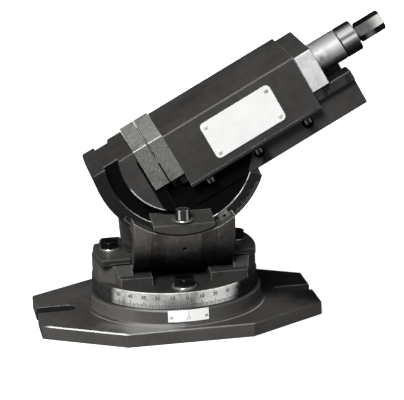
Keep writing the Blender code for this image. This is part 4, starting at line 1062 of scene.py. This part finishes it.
class VISE_OT_plates(bpy.types.Operator):
    """Finish the bare name plate and the index plate, with its mark and their rivets"""

    bl_idname = "vise.plates"
    bl_label = "Plates and rivets"

    def execute(self, context):
        plate, steel = context.scene.vise_plate, context.scene.vise_steel
        dress("name_plate", plate_finish("name_plate_lacquer", plate.plate, True), 0.2)
        # The index plate's lacquer made lighter, as painted light
        paler_as_painted_light = [1.15 * part for part in plate.plate]
        dress("swivel_index_plate", plate_finish("index_plate_lacquer", paler_as_painted_light), 0.2)
        rivet = ground_finish("rivet_steel", steel.bright, (800, 800, 800), 0.34, metallic=0.35, grime_and_shade=0.9)
        corners = [(NAME_PLATE_CENTRE[0] + side * NAME_PLATE_RIVETS[0],
                    NAME_PLATE_CENTRE[1] + level * NAME_PLATE_RIVETS[1])
                   for side, level in ((-1, -1), (1, -1), (1, 1), (-1, 1))]
        add_rivets("name_plate_rivet", [partial(self.on_name_plate, u, w) for u, w in corners],
                   plate.rivet_radius, plate.rivet_height, rivet, "moving_jaw")
        self.add_index_mark(mark_finish("index_ink", context.scene.vise_scale.ink))
        add_rivets("index_plate_rivet", [partial(self.on_index_plate, u) for u in INDEX_PLATE_RIVETS_U],
                   1.9 * MM, 0.7 * MM, rivet, "base")
        return {"FINISHED"}

    def on_name_plate(self, u, w, x, y, up):
        return in_tilt(u + x, NAME_PLATE_FACE_Y - up, w + y)

    def on_index_plate(self, u, x, y, up):
        return on_drum(INDEX_PLATE_RADIUS + up, FRONT + (u + x) / INDEX_PLATE_RADIUS, INDEX_PLATE_MIDDLE + y)

    def add_index_mark(self, ink):
        """A line over an outlined triangle."""
        mark = bmesh.new()
        add_drum_line(mark, INDEX_PLATE_RADIUS, FRONT, 0.4 * MM, *INDEX_LINE)
        tip, foot, side = 24.0 * MM, 20.2 * MM, 2.1 * MM
        inner_tip, inner_foot, inner_side = tip - 0.9 * MM, foot + 0.3 * MM, side - 0.55 * MM
        corners = [((0, tip), (0, inner_tip)), ((-side, foot), (-inner_side, inner_foot)),
                   ((side, foot), (inner_side, inner_foot))]
        for (outer_a, inner_a), (outer_b, inner_b) in zip(corners, corners[1:] + corners[:1]):
            add_block(mark, [on_drum(radius, FRONT + x / INDEX_PLATE_RADIUS, z)
                             for radius in (INDEX_PLATE_RADIUS - MARK_SUNK, INDEX_PLATE_RADIUS + MARK_RAISED)
                             for x, z in (outer_a, outer_b, inner_b, inner_a)])
        new_piece("index_mark", mark, ink, "base")


class VISE_OT_segment_scale(bpy.types.Operator):
    """Engrave the tilt scale on the front of the segment's rim"""

    bl_idname = "vise.segment_scale"
    bl_label = "Tilt scale"

    def execute(self, context):
        finish = mark_finish("tilt_scale_lines", (0.16, 0.155, 0.145), 0.5)
        lines = bmesh.new()
        top = RIM_RADIUS - RIM_MARGIN
        half_width = 0.13 * MM
        for degree in TILT_SCALE_DEGREES:
            angle = math.radians(degree)
            length = 3.8 * MM if degree % 10 else 5.2 * MM
            length = 2.6 * MM if degree % 5 else length
            along = Vector((math.cos(angle), 0, math.sin(angle)))
            across = Vector((-math.sin(angle), 0, math.cos(angle))) * half_width
            outer, inner = along * top, along * (top - length)
            add_block(lines, [TILT_TO_WORLD @ (point + Vector((0, y, 0)))
                              for y in (-RIM_FACE_Y + MARK_SUNK, -RIM_FACE_Y - 0.03 * MM)
                              for point in (inner - across, inner + across, outer + across, outer - across)])
        new_piece("tilt_scale_lines", lines, finish, "vise_body")
        return {"FINISHED"}


class VISE_OT_stage(bpy.types.Operator):
    """Set the pale floor, the soft studio lights and the camera"""

    bl_idname = "vise.stage"
    bl_label = "Stage"

    def execute(self, context):
        stage = context.scene.vise_stage
        self.make_floor(stage)
        self.make_world(stage)
        for name, place, width, height in LIGHTS:
            self.make_light(name, place, width, height, getattr(stage, name))
        self.make_camera(stage)
        context.scene.view_settings.view_transform = "Standard"
        return {"FINISHED"}

    def make_floor(self, stage):
        """White paper to the camera and dark paper to everything else, glowing more away from the vise."""
        builder = bmesh.new()
        half = stage.floor_size
        corners = ((-half, -half), (half, -half), (half, half), (-half, half))
        builder.faces.new([builder.verts.new((x, y, -0.2 * MM)) for x, y in corners])
        mesh = bpy.data.meshes.new("floor")
        builder.to_mesh(mesh)
        builder.free()
        floor = link_object("floor", mesh)
        material = bpy.data.materials.new("floor_paper")
        tree = empty_tree(material)
        seen = add_node(tree, "LightPath").outputs["Is Camera Ray"]
        paper = add_node(tree, "Mix", {0: seen, 6: grey(0.06), 7: grey(0.55)}, data_type="RGBA")
        lit = add_node(tree, "BsdfDiffuse", {"Color": paper.outputs[2]})
        place = add_node(tree, "TexCoord").outputs["Object"]
        reach = add_node(tree, "VectorMath", {0: place}, operation="LENGTH")
        away = smooth_step(tree, reach.outputs["Value"], 0.13, 0.30, 0.8, 1.0)
        level = add_node(tree, "Mix", {0: seen, 2: 0.05, 3: away}, data_type="FLOAT")
        glow = add_node(tree, "Emission", {"Strength": level.outputs[0]})
        total = add_node(tree, "AddShader", {0: lit.outputs[0], 1: glow.outputs[0]})
        add_node(tree, "OutputMaterial", {0: total.outputs[0]})
        mesh.materials.append(material)

    def make_world(self, stage):
        """White to the camera, a bright wall at the front left in reflections, and dim elsewhere."""
        bpy.context.scene.world = bpy.data.worlds.new("studio")
        tree = empty_tree(bpy.context.scene.world)
        way = add_node(tree, "TexCoord").outputs["Generated"]
        toward = add_node(tree, "VectorMath", {0: way, 1: BRIGHT_WALL}, operation="DOT_PRODUCT")
        reflected = smooth_step(tree, toward.outputs["Value"], 0.22, 0.62, 0.012, 0.5)
        room, wall, paper = (add_node(tree, "Background", {"Strength": strength}).outputs[0]
                             for strength in (stage.ambient, reflected, 1.0))
        path = add_node(tree, "LightPath").outputs
        mirror = add_node(tree, "MixShader", {0: path["Is Glossy Ray"], 1: room, 2: wall})
        camera = add_node(tree, "MixShader",
                          {0: path["Is Camera Ray"], 1: mirror.outputs[0], 2: paper})
        add_node(tree, "OutputWorld", {0: camera.outputs[0]})

    def make_light(self, name, place, width, height, power):
        light = configured(bpy.data.lights.new(name + "_light", "AREA"), shape="RECTANGLE", size=width,
                           size_y=height, energy=power)
        lamp = link_object(name + "_light", light)
        lamp.location = place
        lamp.rotation_euler = (LIT_POINT - Vector(place)).to_track_quat("-Z", "Y").to_euler()
        lamp.visible_glossy = name != "rear"

    def make_camera(self, stage):
        """The photo's view, from an azimuth off the front, an elevation and a roll."""
        azimuth, elevation, roll = (math.radians(value) for value in CAMERA_ANGLES)
        back = Vector((math.sin(azimuth) * math.cos(elevation), -math.cos(azimuth) * math.cos(elevation),
                       math.sin(elevation)))
        right = Vector((math.cos(azimuth), math.sin(azimuth), 0))
        up = back.cross(right)
        turned_right = right * math.cos(roll) + up * math.sin(roll)
        turned_up = -right * math.sin(roll) + up * math.cos(roll)
        axes = Matrix((turned_right, turned_up, back)).transposed().to_4x4()
        data = configured(bpy.data.cameras.new("camera"), lens=stage.lens, sensor_width=36,
                          sensor_fit="HORIZONTAL", clip_start=0.05, clip_end=60)
        camera = link_object("camera", data)
        camera.matrix_world = Matrix.Translation(CAMERA_PLACE) @ axes
        bpy.context.scene.camera = camera


class VISE_PT_panel(bpy.types.Panel):
    """The settings and steps of the vise, in the sidebar of the 3D view"""

    bl_label = "Three-axis vise"
    bl_idname = "VISE_PT_panel"
    bl_space_type = "VIEW_3D"
    bl_region_type = "UI"
    bl_category = "Vise"

    def draw(self, context):
        for operator in OPERATORS:
            self.layout.operator(operator.bl_idname)
        for name, group in SETTINGS.items():
            box = self.layout.box()
            settings = getattr(context.scene, name)
            for field in group.__annotations__:
                box.prop(settings, field)


OPERATORS = (
    VISE_OT_castings,
    VISE_OT_turntable,
    VISE_OT_rocker,
    VISE_OT_jaws,
    VISE_OT_spindle,
    VISE_OT_fasteners,
    VISE_OT_plates,
    VISE_OT_segment_scale,
    VISE_OT_stage,
)


def register():
    for settings in SETTINGS.values():
        bpy.utils.register_class(settings)
    for name, settings in SETTINGS.items():
        setattr(bpy.types.Scene, name, bpy.props.PointerProperty(type=settings))
    for item in (*OPERATORS, VISE_PT_panel):
        bpy.utils.register_class(item)


def unregister():
    for item in reversed((*OPERATORS, VISE_PT_panel)):
        bpy.utils.unregister_class(item)
    for name, settings in SETTINGS.items():
        delattr(bpy.types.Scene, name)
        bpy.utils.unregister_class(settings)


def main():
    register()
    bpy.ops.vise.castings()
    bpy.ops.vise.turntable()
    bpy.ops.vise.rocker()
    bpy.ops.vise.jaws()
    bpy.ops.vise.spindle()
    bpy.ops.vise.fasteners()
    bpy.ops.vise.plates()
    bpy.ops.vise.segment_scale()
    bpy.ops.vise.stage()


if __name__ == "__main__":
    main()
